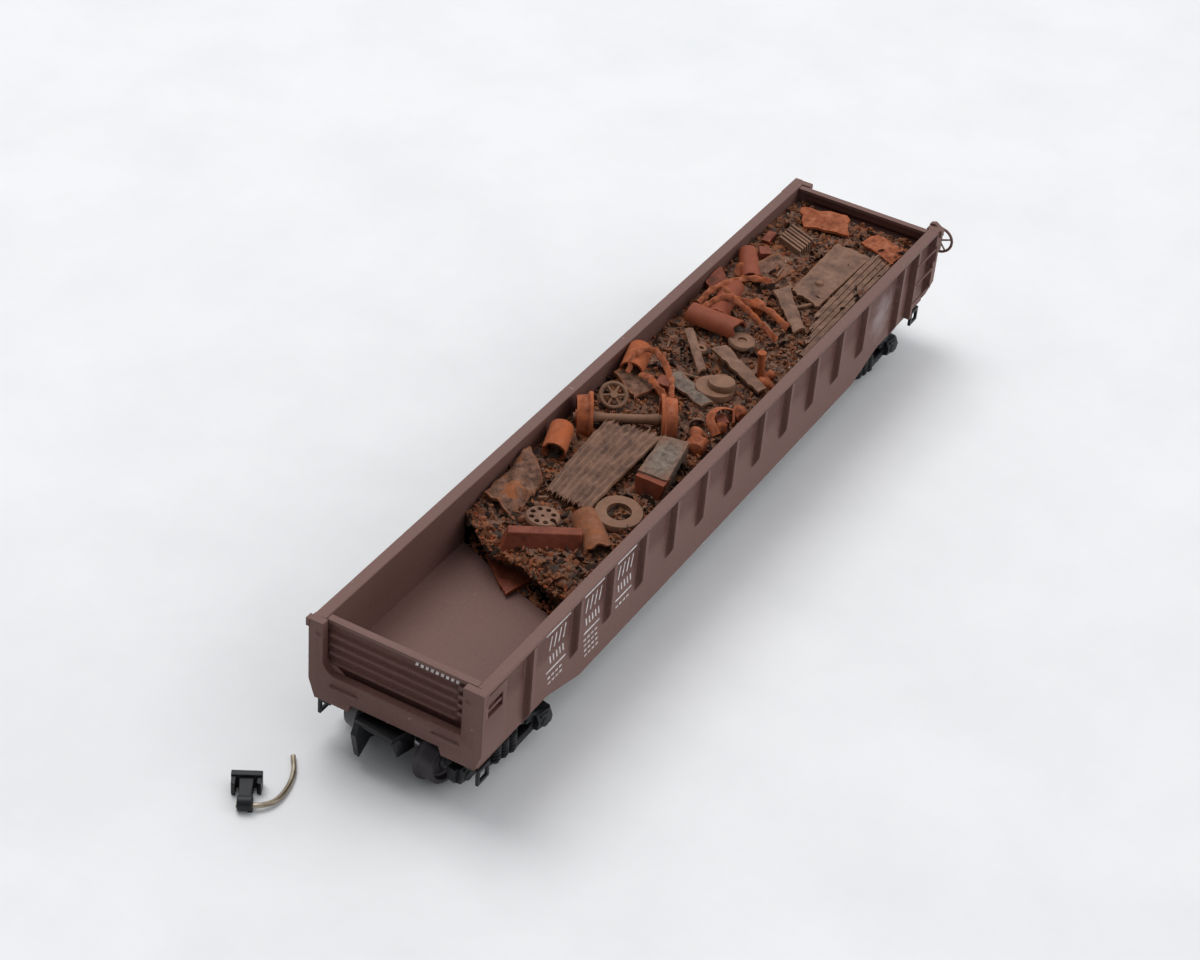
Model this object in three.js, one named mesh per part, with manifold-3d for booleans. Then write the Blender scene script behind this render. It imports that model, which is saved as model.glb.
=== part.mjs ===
// N-scale open gondola car with a lift-out scrap load, standing on its wheels beside one
// of its couplers, which has dropped out. Millimetres, +X along the car, +Z up.
// Heights are written above the table; the group is lowered at the end so that the
// origin is the middle of the centre sill's flat underside.
import * as THREE from 'three';
import { mergeVertices } from 'three/addons/utils/BufferGeometryUtils.js';
import Module from 'manifold-3d';

const wasm = await Module();
wasm.setup();

// ---- driving dimensions ----
const HALF = 50.82; // half the length over the end frames
const CHORD_Y = 9.75; // half the width over the top chords
const SHEET_Y = 8.95; // outer face of the side sheets
const WALL_Y = 8.45; // inner face of the side walls
const TOP = 15.5; // top of the chords
const FLOOR_TOP = 8.9;
const FLOOR_BOTTOM = 8.1;
const SKIRT = 5.45; // bottom of the side sheets over the trucks
const BELLY = 3.6; // bottom of the side sheets at mid-length
const BELLY_OUT = 37.5; // where the sheets start to deepen
const BELLY_IN = 31; // where they reach full depth
const END_T = 0.9; // thickness of the end frames
const SILL_TOP = 9.58; // top of the end sills
const RIB_FOOT = 7.35; // bottom of the short ribs
const RIBS_SHORT = { first: -33, pitch: 6.42, count: 11 };
const RIBS_LONG = [-41.7, 40.9];
const PLATE = { z0: 6.7, z1: 7.2, x: 49.4, y: 8.2 }; // underframe plate
const SILL = { z0: 4, y: 1.4, x: 30.5 }; // centre sill between the trucks
const TRUCKS = { near: -41.8, far: 38.1 }; // king pin positions
const YAW = { near: -11, far: -9 }; // how far each truck is turned, degrees
const WHEELBASE = 10.8;
const AXLE_Z = 3; // axle height, and the flange radius
const TREAD_R = 2.6;
const AXLE_R = 0.5;
const WHEEL_IN = 3.75; // inner face of each wheel from the middle
const FRAME_Y = 6.9; // inner face of the sideframes
const FIT = 0.05; // clearance between pieces that touch on the model

const COLOURS = {
  body: 0x7a5650,
  black: 0x2b2c2f,
  wheel: 0x3d3a3e,
  steel: 0x8f9092,
  wire: 0x9a8262,
  scrap: 0x8a5238,
};

// ---- helpers ----
const rad = THREE.MathUtils.degToRad;

function solid(geometry, matrix = new THREE.Matrix4()) {
  const g = geometry.clone().applyMatrix4(matrix);
  for (const name of Object.keys(g.attributes)) if (name !== 'position') g.deleteAttribute(name);
  const merged = mergeVertices(g, 1e-4);
  return new wasm.Manifold(new wasm.Mesh({
    numProp: 3,
    vertProperties: Float32Array.from(merged.attributes.position.array),
    triVerts: Uint32Array.from(merged.index.array),
  }));
}

function surface(manifold) {
  const mesh = manifold.getMesh();
  const g = new THREE.BufferGeometry();
  g.setAttribute('position', new THREE.BufferAttribute(Float32Array.from(mesh.vertProperties), 3));
  g.setIndex(new THREE.BufferAttribute(Uint32Array.from(mesh.triVerts), 1));
  g.computeVertexNormals();
  return g;
}

const move = (x, y, z) => new THREE.Matrix4().makeTranslation(x, y, z);
const union = (list) => list.reduce((a, b) => a.add(b));
const cut = (body, list) => list.reduce((a, b) => a.subtract(b), body);

function box(x0, x1, y0, y1, z0, z1) {
  const g = new THREE.BoxGeometry(x1 - x0, y1 - y0, z1 - z0);
  return solid(g, move((x0 + x1) / 2, (y0 + y1) / 2, (z0 + z1) / 2));
}

// outline drawn in X and Z, extruded along Y
function plateXZ(points, y0, y1) {
  const shape = new THREE.Shape(points.map(([x, z]) => new THREE.Vector2(x, z)));
  const g = new THREE.ExtrudeGeometry(shape, { depth: y1 - y0, bevelEnabled: false });
  return solid(g, move(0, y1, 0).multiply(new THREE.Matrix4().makeRotationX(Math.PI / 2)));
}

// outline drawn in Y and Z, extruded along X
function plateYZ(points, x0, x1) {
  const shape = new THREE.Shape(points.map(([y, z]) => new THREE.Vector2(y, z)));
  const g = new THREE.ExtrudeGeometry(shape, { depth: x1 - x0, bevelEnabled: false });
  const turn = new THREE.Matrix4().makeBasis(
    new THREE.Vector3(0, 1, 0), new THREE.Vector3(0, 0, 1), new THREE.Vector3(1, 0, 0));
  return solid(g, move(x0, 0, 0).multiply(turn));
}

// outline drawn in X and Y, extruded upwards
function plateXY(points, z0, z1) {
  const shape = new THREE.Shape(points.map(([x, y]) => new THREE.Vector2(x, y)));
  return solid(new THREE.ExtrudeGeometry(shape, { depth: z1 - z0, bevelEnabled: false }), move(0, 0, z0));
}

function rod(r, from, to, sides = 16, r2 = r) {
  const a = new THREE.Vector3(...from);
  const along = new THREE.Vector3(...to).sub(a);
  const g = new THREE.CylinderGeometry(r2, r, along.length(), sides);
  const turn = new THREE.Quaternion().setFromUnitVectors(new THREE.Vector3(0, 1, 0), along.clone().normalize());
  const mid = a.addScaledVector(along, 0.5);
  return solid(g, new THREE.Matrix4().compose(mid, turn, new THREE.Vector3(1, 1, 1)));
}

const half = (m) => m.rotate([0, 0, 180]); // the same piece at the other end
const flip = (m) => m.mirror([0, 1, 0]); // the same piece on the other side

const car = new THREE.Group();

function node(parent, name, piece, colour, roughness = 0.7, metalness = 0) {
  const geometry = piece.isBufferGeometry ? piece : surface(piece);
  const mesh = new THREE.Mesh(geometry, new THREE.MeshStandardMaterial({
    color: COLOURS[colour], roughness, metalness,
  }));
  mesh.name = name;
  parent.add(mesh);
  return mesh;
}

// ---- body shell: one moulding of two sides, two end frames and the floor ----
function side() {
  const x = HALF - END_T;
  const outline = [
    [-x, SKIRT], [-BELLY_OUT, SKIRT], [-BELLY_IN, BELLY], [BELLY_IN, BELLY],
    [BELLY_OUT, SKIRT], [x, SKIRT], [x, TOP - 0.1], [-x, TOP - 0.1],
  ];
  const sheet = plateXZ(outline, -SHEET_Y, -WALL_Y);
  const chord = plateYZ([
    [-CHORD_Y, TOP], [-CHORD_Y, TOP - 0.35], [-SHEET_Y - 0.1, TOP - 0.9],
    [-WALL_Y - 0.2, TOP - 0.9], [-WALL_Y, TOP - 0.7], [-WALL_Y, TOP],
  ], -x, x);
  return union([sheet, chord, ...ribs()]);
}

// a rib is a tapering box: wide where it meets the sheet, narrow at its outer face
function rib(x, foot) {
  const root = { w: 0.5, y: -SHEET_Y + 0.1, z0: foot };
  const face = { w: 0.22, y: -CHORD_Y + 0.02, z0: foot + 1.6 };
  const high = TOP - 0.3;
  const corners = [];
  for (const s of [root, face]) {
    const drop = s === face ? 0.15 : 0;
    corners.push([x - s.w, s.y + drop, s.z0], [x + s.w, s.y + drop, s.z0]);
    corners.push([x + s.w, s.y, high], [x - s.w, s.y, high]);
  }
  const g = new THREE.BufferGeometry();
  g.setAttribute('position', new THREE.Float32BufferAttribute(corners.flat(), 3));
  g.setIndex([
    0, 2, 1, 0, 3, 2, 4, 5, 6, 4, 6, 7, 0, 1, 5, 0, 5, 4,
    1, 2, 6, 1, 6, 5, 2, 3, 7, 2, 7, 6, 3, 0, 4, 3, 4, 7,
  ]);
  return solid(g);
}

function ribs() {
  const list = RIBS_LONG.map((x) => rib(x, SKIRT));
  for (let i = 0; i < RIBS_SHORT.count; i += 1) {
    list.push(rib(RIBS_SHORT.first + i * RIBS_SHORT.pitch, RIB_FOOT));
  }
  return list;
}

// the near end frame, an open-topped U that the drop end stands behind
const OPENING = { left: 8.15, right: -7.4, corner: 1.5 };

function endFrame() {
  const outer = [
    [-CHORD_Y, TOP], [-CHORD_Y, 8.17], [-9.08, 6], [-5.3, 6], [-5, 6.95],
    [4.9, 6.95], [5.2, 6], [9.08, 6], [CHORD_Y, 8.17], [CHORD_Y, TOP],
  ];
  const { left, right, corner } = OPENING;
  const opening = [[right, TOP + 1], [right, SILL_TOP]];
  const turns = 5;
  for (let i = 0; i <= turns; i += 1) {
    const a = (Math.PI / 2) * (i / turns);
    opening.push([left - corner + corner * Math.sin(a), SILL_TOP + corner - corner * Math.cos(a)]);
  }
  opening.push([left, TOP + 1]);
  const plate = plateYZ(outer, -HALF, -HALF + END_T);
  return plate.subtract(plateYZ(opening, -HALF - 1, -HALF + END_T + 1));
}

// the wide corner plate with its shallow pocket, at the left end of each side
function cornerPlate() {
  const y = -SHEET_Y + 0.1;
  const block = plateYZ(
    [[y, TOP - 0.1], [y, 6], [-9.08, 6], [-CHORD_Y, 8.17], [-CHORD_Y, TOP - 0.1]], -HALF, -46.9);
  const pocket = box(-50.45, -47.5, -CHORD_Y - 1, -CHORD_Y + 0.6, 12.3, 13.9);
  const grab = box(-50.5, -47.4, -CHORD_Y, -CHORD_Y + 0.22, 12.95, 13.2);
  return cut(block, [pocket]).add(grab);
}

// the narrow corner post and grab irons, at the right end of each side
function ladderCorner() {
  const y = SHEET_Y - 0.1;
  const post = plateYZ(
    [[y, TOP - 0.1], [y, 6], [9.08, 6], [CHORD_Y, 8.17], [CHORD_Y, TOP - 0.1]], -HALF, -49.7);
  const stile = box(-45.3, -44.7, y, CHORD_Y, SKIRT + 0.3, TOP - 0.3);
  const rungs = [7.9, 10.5, 13.1].map((z) => box(-49.9, -44.8, CHORD_Y - 0.3, CHORD_Y, z, z + 0.3));
  const lug = box(-HALF - 0.1, -50.1, CHORD_Y - 0.1, CHORD_Y + 0.3, 14.6, TOP);
  return union([post, stile, lug, ...rungs]);
}

// grab irons and bolt heads that stand proud of the end frame
function endTrim(bolts) {
  const face = -HALF;
  const trim = [];
  for (const s of [-1, 1]) {
    const [a, b] = [s * 4.3, s * 7.2].sort((p, q) => p - q);
    trim.push(box(face - 0.35, face - 0.1, a, b, 8.2, 8.45));
    for (const y of [a, b - 0.25]) trim.push(box(face - 0.35, face + 0.1, y, y + 0.25, 8.2, 8.45));
  }
  for (const y of bolts) trim.push(rod(0.28, [face - 0.15, y, 13.9], [face + 0.1, y, 13.9], 8));
  return trim;
}

// grooves in the top of the wide post, and the slit under its cap
function endCuts() {
  const grooves = [[-50.15, -7.4], [-50.5, -8.1], [-50.75, -8.7]].map(
    ([x, y]) => box(x, x + 0.14, y - 0.85, y, TOP - 0.25, TOP + 1));
  return [...grooves, box(-HALF - 1, -47.7, -CHORD_Y - 1, -CHORD_Y + 0.35, TOP - 0.48, TOP - 0.34)];
}

function bodyShell() {
  const x = HALF - END_T + 0.05;
  const floor = box(-x, x, -WALL_Y - 0.1, WALL_Y + 0.1, FLOOR_BOTTOM, FLOOR_TOP);
  const end = union([endFrame(), cornerPlate(), ladderCorner()]);
  const nearEnd = union([end, ...endTrim([8.65, -7.95])]);
  const farEnd = half(union([end, ...endTrim([-7.95])])); // the brake housing covers the other bolt
  const shell = union([floor, side(), flip(side()), nearEnd, farEnd]);
  return cut(shell, [...endCuts(), ...endCuts().map(half)]);
}
node(car, 'body_shell', bodyShell(), 'body');

// ---- drop ends: pressed panels with four ridges, lower corners cut away ----
const PANEL = { x: -HALF + END_T + FIT, t: 0.45, ridge: 0.28, z0: FLOOR_TOP + FIT };

function dropEnd() {
  const outerFace = [];
  const innerFace = [];
  const steps = 40;
  for (let i = 0; i <= steps; i += 1) {
    const z = PANEL.z0 + ((TOP - 0.05 - PANEL.z0) * i) / steps;
    const phase = (z - 9.75) / 1.12;
    const wave = phase > 0 && phase < 4 ? Math.sin(Math.PI * (phase % 1)) ** 2 : 0;
    outerFace.push([PANEL.x + PANEL.ridge * (1 - wave), z]);
    innerFace.unshift([PANEL.x + PANEL.ridge * (1 - wave) + PANEL.t, z]);
  }
  const y = WALL_Y - FIT;
  const sheet = plateXZ([...outerFace, ...innerFace], -y, y);
  const corners = [-1, 1].map((s) => plateYZ(
    s > 0 ? [[4.9, 8], [9, 8], [9, 10.9], [8.2, 10.4]] : [[-9, 8], [-4.9, 8], [-8.2, 10.4], [-9, 10.9]],
    -HALF, -HALF + 4));
  return cut(sheet, corners);
}
node(car, 'near_drop_end', dropEnd(), 'body');
node(car, 'far_drop_end', half(dropEnd()), 'body');

// ---- underframe: black moulding with centre sill, cross-bearers and stirrups ----
const STIRRUP = { width: 2, y: 9, thick: 0.35, foot: 3.45, arm: 5 };

// drawn on the right-hand side: a web down from the plate, an arm out, then the loop
function stirrup(x0) {
  const { width, y, thick, foot, arm } = STIRRUP;
  const x1 = x0 + width;
  const [a, b] = [-y - thick / 2, -y + thick / 2];
  return union([
    box(x0 + 0.4, x1, -8.2, -7.7, arm, PLATE.z1),
    box(x0, x1, a, -7.7, arm, arm + 0.35),
    box(x0, x0 + thick, a, b, foot, arm + 0.1),
    box(x1 - thick, x1, a, b, foot, arm + 0.1),
    box(x0, x1, a, b, foot, foot + 0.35),
  ]);
}

function underframe() {
  const { z0, z1, x, y } = PLATE;
  const pieces = [box(-x, x, -y, y, z0, z1)];
  pieces.push(plateXZ([
    [-SILL.x - 2, z0 + 0.1], [-SILL.x, SILL.z0], [SILL.x, SILL.z0], [SILL.x + 2, z0 + 0.1],
  ], -SILL.y, SILL.y));
  for (const bx of [-24, -9, 9, 24]) {
    const bearer = [[-y, z0 + 0.1], [-y, 6], [-2, 4.7], [2, 4.7], [y, 6], [y, z0 + 0.1]];
    pieces.push(plateYZ(bearer, bx - 0.4, bx + 0.4));
  }
  for (const px of Object.values(TRUCKS)) pieces.push(box(px - 1.3, px + 1.3, -6.6, 6.6, 6.35, z0 + 0.1));
  for (const x0 of [-50.1, 46.9]) pieces.push(stirrup(x0), flip(stirrup(x0)));
  const bores = Object.values(TRUCKS).map((px) => rod(0.8 + FIT, [px, 0, 3], [px, 0, 9], 20));
  return cut(union(pieces), bores);
}
node(car, 'underframe', underframe(), 'black', 0.55);

node(car, 'ballast_plate', box(-37, 35, -7.6, 7.6, PLATE.z1 + FIT, FLOOR_BOTTOM - FIT), 'steel', 0.4, 1);

// ---- king pins: headed pins pushed up through each truck bolster ----
function kingPin(x) {
  const shaft = rod(0.8, [x, 0, 3.95], [x, 0, FLOOR_BOTTOM - FIT], 20);
  return union([rod(1.25, [x, 0, 3.45], [x, 0, 4.05], 20), shaft]);
}
for (const [end, x] of Object.entries(TRUCKS)) node(car, `${end}_king_pin`, kingPin(x), 'black', 0.5);

// ---- brake wheel on its short shaft at the far end ----
const BRAKE = { x: 52.2, y: -9.2, z: 13.1, r: 1.75 };

function brakeWheel() {
  const { x, y, z, r } = BRAKE;
  const rim = solid(new THREE.TorusGeometry(r - 0.2, 0.2, 8, 28),
    move(x, y, z).multiply(new THREE.Matrix4().makeRotationY(Math.PI / 2)));
  const spokes = [0, 72, 144, 216, 288].map((a) => {
    const end = [x, y + (r - 0.2) * Math.sin(rad(a)), z + (r - 0.2) * Math.cos(rad(a))];
    return rod(0.14, [x, y, z], end, 6);
  });
  const hub = rod(0.35, [x - 0.25, y, z], [x + 0.25, y, z], 10);
  const shaft = rod(0.25, [HALF + 0.3, y, z], [x, y, z], 10);
  return union([rim, hub, shaft, ...spokes]);
}
node(car, 'brake_wheel', brakeWheel(), 'body');

function brakeHousing() {
  const { y, z } = BRAKE;
  const block = plateYZ([
    [y - 0.55, z - 0.9], [y + 0.9, z - 0.9], [y + 1.1, z + 0.5], [y + 1.1, TOP + 0.1],
    [y + 0.5, TOP + 0.3], [y - 0.3, TOP - 0.2], [y - 0.55, z + 0.8],
  ], HALF + FIT, HALF + 0.75);
  return block.subtract(rod(0.25 + FIT, [HALF - 1, y, z], [HALF + 2, y, z], 12));
}
node(car, 'brake_housing', brakeHousing(), 'body');

// ---- trucks ----
// Each is drawn with its coupler pocket towards -X, then the far one is turned round.
function sideframe() {
  const y0 = -FRAME_Y - 1;
  const outline = [
    [-6.7, 2.3], [-6.7, 3.9], [-4.4, 4.1], [-2.2, 5.1], [2.2, 5.1], [4.4, 4.1], [6.7, 3.9], [6.7, 2.3],
    [4.6, 2.2], [2.1, 1.3], [-2.1, 1.3], [-4.6, 2.2],
  ];
  const gap = plateXZ([[4.1, 3.3], [2, 4.2], [2, 2.3], [3.6, 2.7]], y0 - 1, -FRAME_Y + 1);
  const boxes = [-1, 1].map((s) => plateYZ(
    [[y0 - 0.5, 2.3], [y0 - 0.65, 3.2], [y0 - 0.3, 4], [y0 + 0.1, 4], [y0 + 0.1, 2.1]],
    (s * WHEELBASE) / 2 - 1, (s * WHEELBASE) / 2 + 1));
  const springs = [-1.1, 0, 1.1].map((x) => rod(0.5, [x, y0, 1.6], [x, y0, 3.9], 8));
  const bearings = [-1, 1].map((s) => {
    const x = (s * WHEELBASE) / 2;
    return rod(AXLE_R + 0.1, [x, -FRAME_Y + 0.5, AXLE_Z], [x, -FRAME_Y - 0.75, AXLE_Z], 12);
  });
  const frame = cut(plateXZ(outline, y0, -FRAME_Y), [gap, gap.mirror([1, 0, 0])]);
  return cut(union([frame, ...boxes, ...springs]), bearings);
}

// pocket roof and the two side walls that the coupler sits between
function couplerPocket() {
  const roof = plateXY([
    [-9.6, -2.3], [-6.4, -2.5], [-6.4, -1.2], [-1, -1.2],
    [-1, 1.2], [-6.4, 1.2], [-6.4, 2.3], [-10, 2.3],
  ], 5.4, 6);
  const blade = plateXZ([
    [-10, 5.5], [-10.5, 4.4], [-10, 1.5], [-8.6, 3], [-7.2, 4.6], [-6.8, 5.5],
  ], 1.6, 2.3);
  const jaw = plateXY([[-8.3, -1.3], [-8.9, -2.35], [-6.6, -2.45], [-6.6, -1.3]], 3.3, 5.5);
  const post = rod(0.45, [-8, 0, 3.9], [-8, 0, 5.5], 12);
  return union([roof, blade, jaw, post]);
}

function truckFrame() {
  const bolster = plateYZ([
    [-FRAME_Y - 0.1, 3.2], [-3, 4.15], [3, 4.15], [FRAME_Y + 0.1, 3.2],
    [FRAME_Y + 0.1, 4.6], [3.4, 6.2], [-3.4, 6.2], [-FRAME_Y - 0.1, 4.6],
  ], -1.2, 1.2);
  const bore = rod(0.8 + FIT, [0, 0, 3], [0, 0, 7], 20);
  return union([bolster, sideframe(), flip(sideframe()), couplerPocket()]).subtract(bore);
}

// half of a wheel's section, from the bore out: flange inside, coned tread, dished face
function wheel(side) {
  const bore = AXLE_R + 0.03;
  const section = [
    [bore, 0.1], [2, 0.25], [2.75, 0], [AXLE_Z, 0.2], [AXLE_Z, 0.4], [TREAD_R + 0.05, 0.65],
    [TREAD_R - 0.05, 2.1], [2.1, 2.15], [1.9, 1.5], [1, 1.6], [0.9, 2.1], [bore, 2.1], [bore, 0.1],
  ].map(([r, y]) => new THREE.Vector2(r, y));
  const g = new THREE.LatheGeometry(section, 24);
  if (side < 0) g.rotateX(Math.PI);
  g.translate(0, side * WHEEL_IN, 0);
  return surface(solid(g));
}

function axle() {
  return union([
    rod(AXLE_R, [0, -6.6, 0], [0, 6.6, 0], 12),
    rod(AXLE_R, [0, 6.55, 0], [0, 7.5, 0], 12, 0.12),
    rod(0.12, [0, -7.5, 0], [0, -6.55, 0], 12, AXLE_R),
  ]);
}

function truck(end) {
  const group = new THREE.Group();
  group.position.x = TRUCKS[end];
  group.rotation.z = rad(YAW[end] + (end === 'far' ? 180 : 0));
  node(group, `${end}_truck_frame`, truckFrame(), 'black', 0.55);
  for (const [place, s] of [['outer', -1], ['inner', 1]]) {
    const set = new THREE.Group();
    set.position.set((s * WHEELBASE) / 2, 0, AXLE_Z);
    node(set, `${end}_${place}_axle`, axle(), 'steel', 0.35, 1);
    node(set, `${end}_${place}_wheel_left`, wheel(1), 'wheel', 0.5);
    node(set, `${end}_${place}_wheel_right`, wheel(-1), 'wheel', 0.5);
    group.add(set);
  }
  car.add(group);
  return group;
}
truck('near');
const farTruck = truck('far');

// ---- couplers ----
// knuckle head seen from above, pulling face towards -X, centred on its trip pin
function couplerHead() {
  const head = plateXY([
    [1, -0.75], [1, 0.75], [0.2, 1.05], [-0.6, 1.4], [-1.3, 1.4], [-1.3, 0.75],
    [-0.5, 0.6], [-0.35, -0.2], [-0.6, -0.75], [-1.5, -0.75], [-1.5, -1.4], [-0.3, -1.4],
  ], -0.9, 0.9);
  return head.subtract(rod(0.25 + 0.02, [0.35, 0, -2], [0.35, 0, 2], 12));
}

function farCoupler() {
  const shank = plateXY([
    [-11.3, -0.55], [-8.7, -0.55], [-8.2, -1], [-7.2, -0.9], [-6.9, 0],
    [-7.2, 0.9], [-8.2, 1], [-8.7, 0.55], [-11.3, 0.55],
  ], 4.05, 5.05);
  const head = couplerHead().translate([-12.3, 0, 4.5]);
  return union([shank, head]).subtract(rod(0.5, [-8, 0, 3], [-8, 0, 6], 16));
}
node(farTruck, 'far_coupler', farCoupler(), 'black', 0.5);

// a bent wire, its route given by hand
function wire(points, r, steps, sides = 8) {
  const curve = new THREE.CatmullRomCurve3(points.map((p) => new THREE.Vector3(...p)));
  const section = new THREE.Shape();
  section.absarc(0, 0, r, 0, Math.PI * 2);
  return new THREE.ExtrudeGeometry(section, {
    steps, extrudePath: curve, curveSegments: sides / 2, bevelEnabled: false,
  });
}
const pinX = -11.95;
node(farTruck, 'far_trip_pin', wire([
  [pinX, 0, 5.2], [pinX, 0, 3.2], [pinX + 0.15, 0.1, 2.3], [pinX + 0.9, 0.5, 1.5], [pinX + 2.1, 1.3, 1.1],
], 0.25, 14), 'wire', 0.35, 1);

// flat plate that would close the pocket from below
node(farTruck, 'far_pocket_cover', box(-9.8, -6.65, -1.2, 1.5, 3.3, 3.75), 'black', 0.5);

// coil spring between the bolster and the coupler's tail, which centres the coupler
const COIL = { x0: -6.65, length: 5.2, r: 0.4, wire: 0.09, turns: 9 };

class Coil extends THREE.Curve {
  getPoint(t) {
    const a = t * Math.PI * 2 * COIL.turns;
    return new THREE.Vector3(COIL.x0 + COIL.length * t, COIL.r * Math.cos(a), 4.55 + COIL.r * Math.sin(a));
  }
}

function coilSpring() {
  const section = new THREE.Shape();
  section.absarc(0, 0, COIL.wire, 0, Math.PI * 2);
  return new THREE.ExtrudeGeometry(section, {
    steps: COIL.turns * 10, extrudePath: new Coil(), curveSegments: 2, bevelEnabled: false,
  });
}
node(farTruck, 'far_coupler_spring', coilSpring(), 'steel', 0.35, 1);

// ---- the coupler that has dropped out, lying on its side on the table ----
const FALLEN = { x: -59.6, y: 10.6, turn: 122 };
const fallen = new THREE.Group();
fallen.position.set(FALLEN.x, FALLEN.y, 0);
fallen.rotation.z = rad(FALLEN.turn);

function fallenHead() {
  const bar = plateXY([[-1.45, -0.7], [1.45, -0.7], [1.45, 0.75], [-1.45, 0.75]], 0, 1.9);
  const notch = box(-0.95, 0.95, -1, 0.1, 1.1, 3);
  const leg = plateXY([[-0.7, 0.6], [0.8, 0.6], [0.75, 2.2], [-0.65, 2.2]], 0, 1.5);
  const hub = rod(0.95, [-0.9, 2.9, 0.95], [0.9, 2.9, 0.95], 14);
  return cut(union([bar, leg, hub]), [notch, rod(0.27, [-2, 2.9, 0.6], [2, 2.9, 0.6], 12)]);
}
node(fallen, 'loose_coupler', fallenHead(), 'black', 0.5);
node(fallen, 'loose_trip_pin', wire([
  [0.8, 2.9, 0.6], [-0.9, 2.9, 0.6], [-1.9, 2.65, 0.55], [-2.8, 2, 0.45],
  [-3.5, 0.9, 0.38], [-4.05, -0.7, 0.3], [-4.28, -2.4, 0.28], [-4.1, -4.4, 0.28],
], 0.25, 18), 'wire', 0.35, 1);
car.add(fallen);

// ---- scrap load: one casting dropped in from above ----
function scrapLoad() {
  const base = plateXY([
    [-25.5, 8.1], [-27.2, 6.4], [-28.4, 3.6], [-28.9, 1], [-29.6, -1.8], [-30.8, -4.6], [-31.5, -6.4],
    [-31, -8.1], [46.5, -8.1], [47.6, -5], [47.2, -1], [48.2, 3], [47.4, 6.5], [45, 8.1],
  ], FLOOR_TOP + FIT, 13);
  const lumps = [
    box(-22, -9, -5, 4.5, 12.9, 13.7), box(-8, -2.5, -7, -2.5, 12.9, 15), box(-3, 12, 2, 7.5, 12.9, 14.4),
    box(13, 30, -4, 7.8, 12.9, 14.6), box(31, 46, -7.8, 3.5, 12.9, 14.2),
  ];
  return union([base, ...lumps]);
}
node(car, 'scrap_load', scrapLoad(), 'scrap', 0.9);

car.position.z = -SILL.z0;
const model = new THREE.Group();
model.add(car);
export default model;
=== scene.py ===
import math
import random

import bmesh
import bpy
from mathutils import Matrix, Vector, noise


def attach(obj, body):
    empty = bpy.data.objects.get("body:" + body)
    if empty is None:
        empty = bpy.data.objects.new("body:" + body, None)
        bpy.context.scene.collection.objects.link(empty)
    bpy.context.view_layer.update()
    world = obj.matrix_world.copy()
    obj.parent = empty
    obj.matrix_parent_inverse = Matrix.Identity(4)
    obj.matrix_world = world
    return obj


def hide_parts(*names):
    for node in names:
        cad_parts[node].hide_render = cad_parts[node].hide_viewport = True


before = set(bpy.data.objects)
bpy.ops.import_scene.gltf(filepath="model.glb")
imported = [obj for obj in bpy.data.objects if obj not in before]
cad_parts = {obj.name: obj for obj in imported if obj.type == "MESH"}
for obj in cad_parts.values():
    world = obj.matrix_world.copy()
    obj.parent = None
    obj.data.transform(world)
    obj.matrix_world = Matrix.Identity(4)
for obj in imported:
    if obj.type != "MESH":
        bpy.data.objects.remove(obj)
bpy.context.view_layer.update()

# ---------------------------------------------------------------------------------------------
# Table, light and camera
# A pale, almost white table top under a broad soft light, looked at from in front of the near
# end and above it. None of this belongs to the car.
MM = 0.001
SILL_HEIGHT = 4.0  # the car's origin, the centre sill's underside, above the table


def linear(colour):
    """A #rrggbb paint-chart colour as the linear RGBA that a shader works in."""
    parts = [int(colour[i:i + 2], 16) / 255 for i in (1, 3, 5)]
    return [c / 12.92 if c <= 0.04045 else ((c + 0.055) / 1.055) ** 2.4 for c in parts] + [1.0]


def add(tree, kind, inputs=None, **settings):
    """One node with its settings; each input takes a value or another node's output."""
    node = tree.nodes.new(kind)
    for name, value in settings.items():
        setattr(node, name, value)
    for key, value in (inputs or {}).items():
        if isinstance(value, bpy.types.NodeSocket):
            tree.links.new(value, node.inputs[key])
        else:
            node.inputs[key].default_value = value
    return node


def blank(name):
    """A new material's empty tree, with the object's own coordinates ready in it."""
    material = bpy.data.materials.new(name)
    material.use_nodes = True
    tree = material.node_tree
    tree.nodes.clear()
    return material, tree, add(tree, "ShaderNodeTexCoord").outputs["Object"]


def fractal(tree, where, size_mm, detail=3.0, roughness=0.5):
    """Noise whose lumps are about size_mm across."""
    return add(tree, "ShaderNodeTexNoise", {
        "Vector": where, "Scale": 1 / (size_mm * MM), "Detail": detail, "Roughness": roughness,
    }).outputs["Fac"]


def steps(tree, value, *stops):
    """Colours laid along a 0 to 1 value; each stop is a place and a #rrggbb colour."""
    ramp = add(tree, "ShaderNodeValToRGB", {"Fac": value})
    while len(ramp.color_ramp.elements) < len(stops):
        ramp.color_ramp.elements.new(0.5)
    for element, (place, colour) in zip(ramp.color_ramp.elements, stops):
        element.position = place
        element.color = linear(colour)
    return ramp.outputs["Color"]


def mixed(tree, amount, first, second, how="MIX"):
    """Two colours blended by an amount."""
    return add(tree, "ShaderNodeMix", {0: amount, 6: first, 7: second},
               data_type="RGBA", blend_type=how).outputs[2]


def finish_material(tree, sockets, height=None, height_mm=0.01):
    """The surface shader, with a bump of the given depth where there is a height."""
    shader = add(tree, "ShaderNodeBsdfPrincipled", sockets)
    if height is not None:
        bump = add(tree, "ShaderNodeBump", {
            "Height": height, "Strength": 1.0, "Distance": height_mm * MM,
        })
        tree.links.new(bump.outputs["Normal"], shader.inputs["Normal"])
    add(tree, "ShaderNodeOutputMaterial", {"Surface": shader.outputs["BSDF"]})


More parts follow.
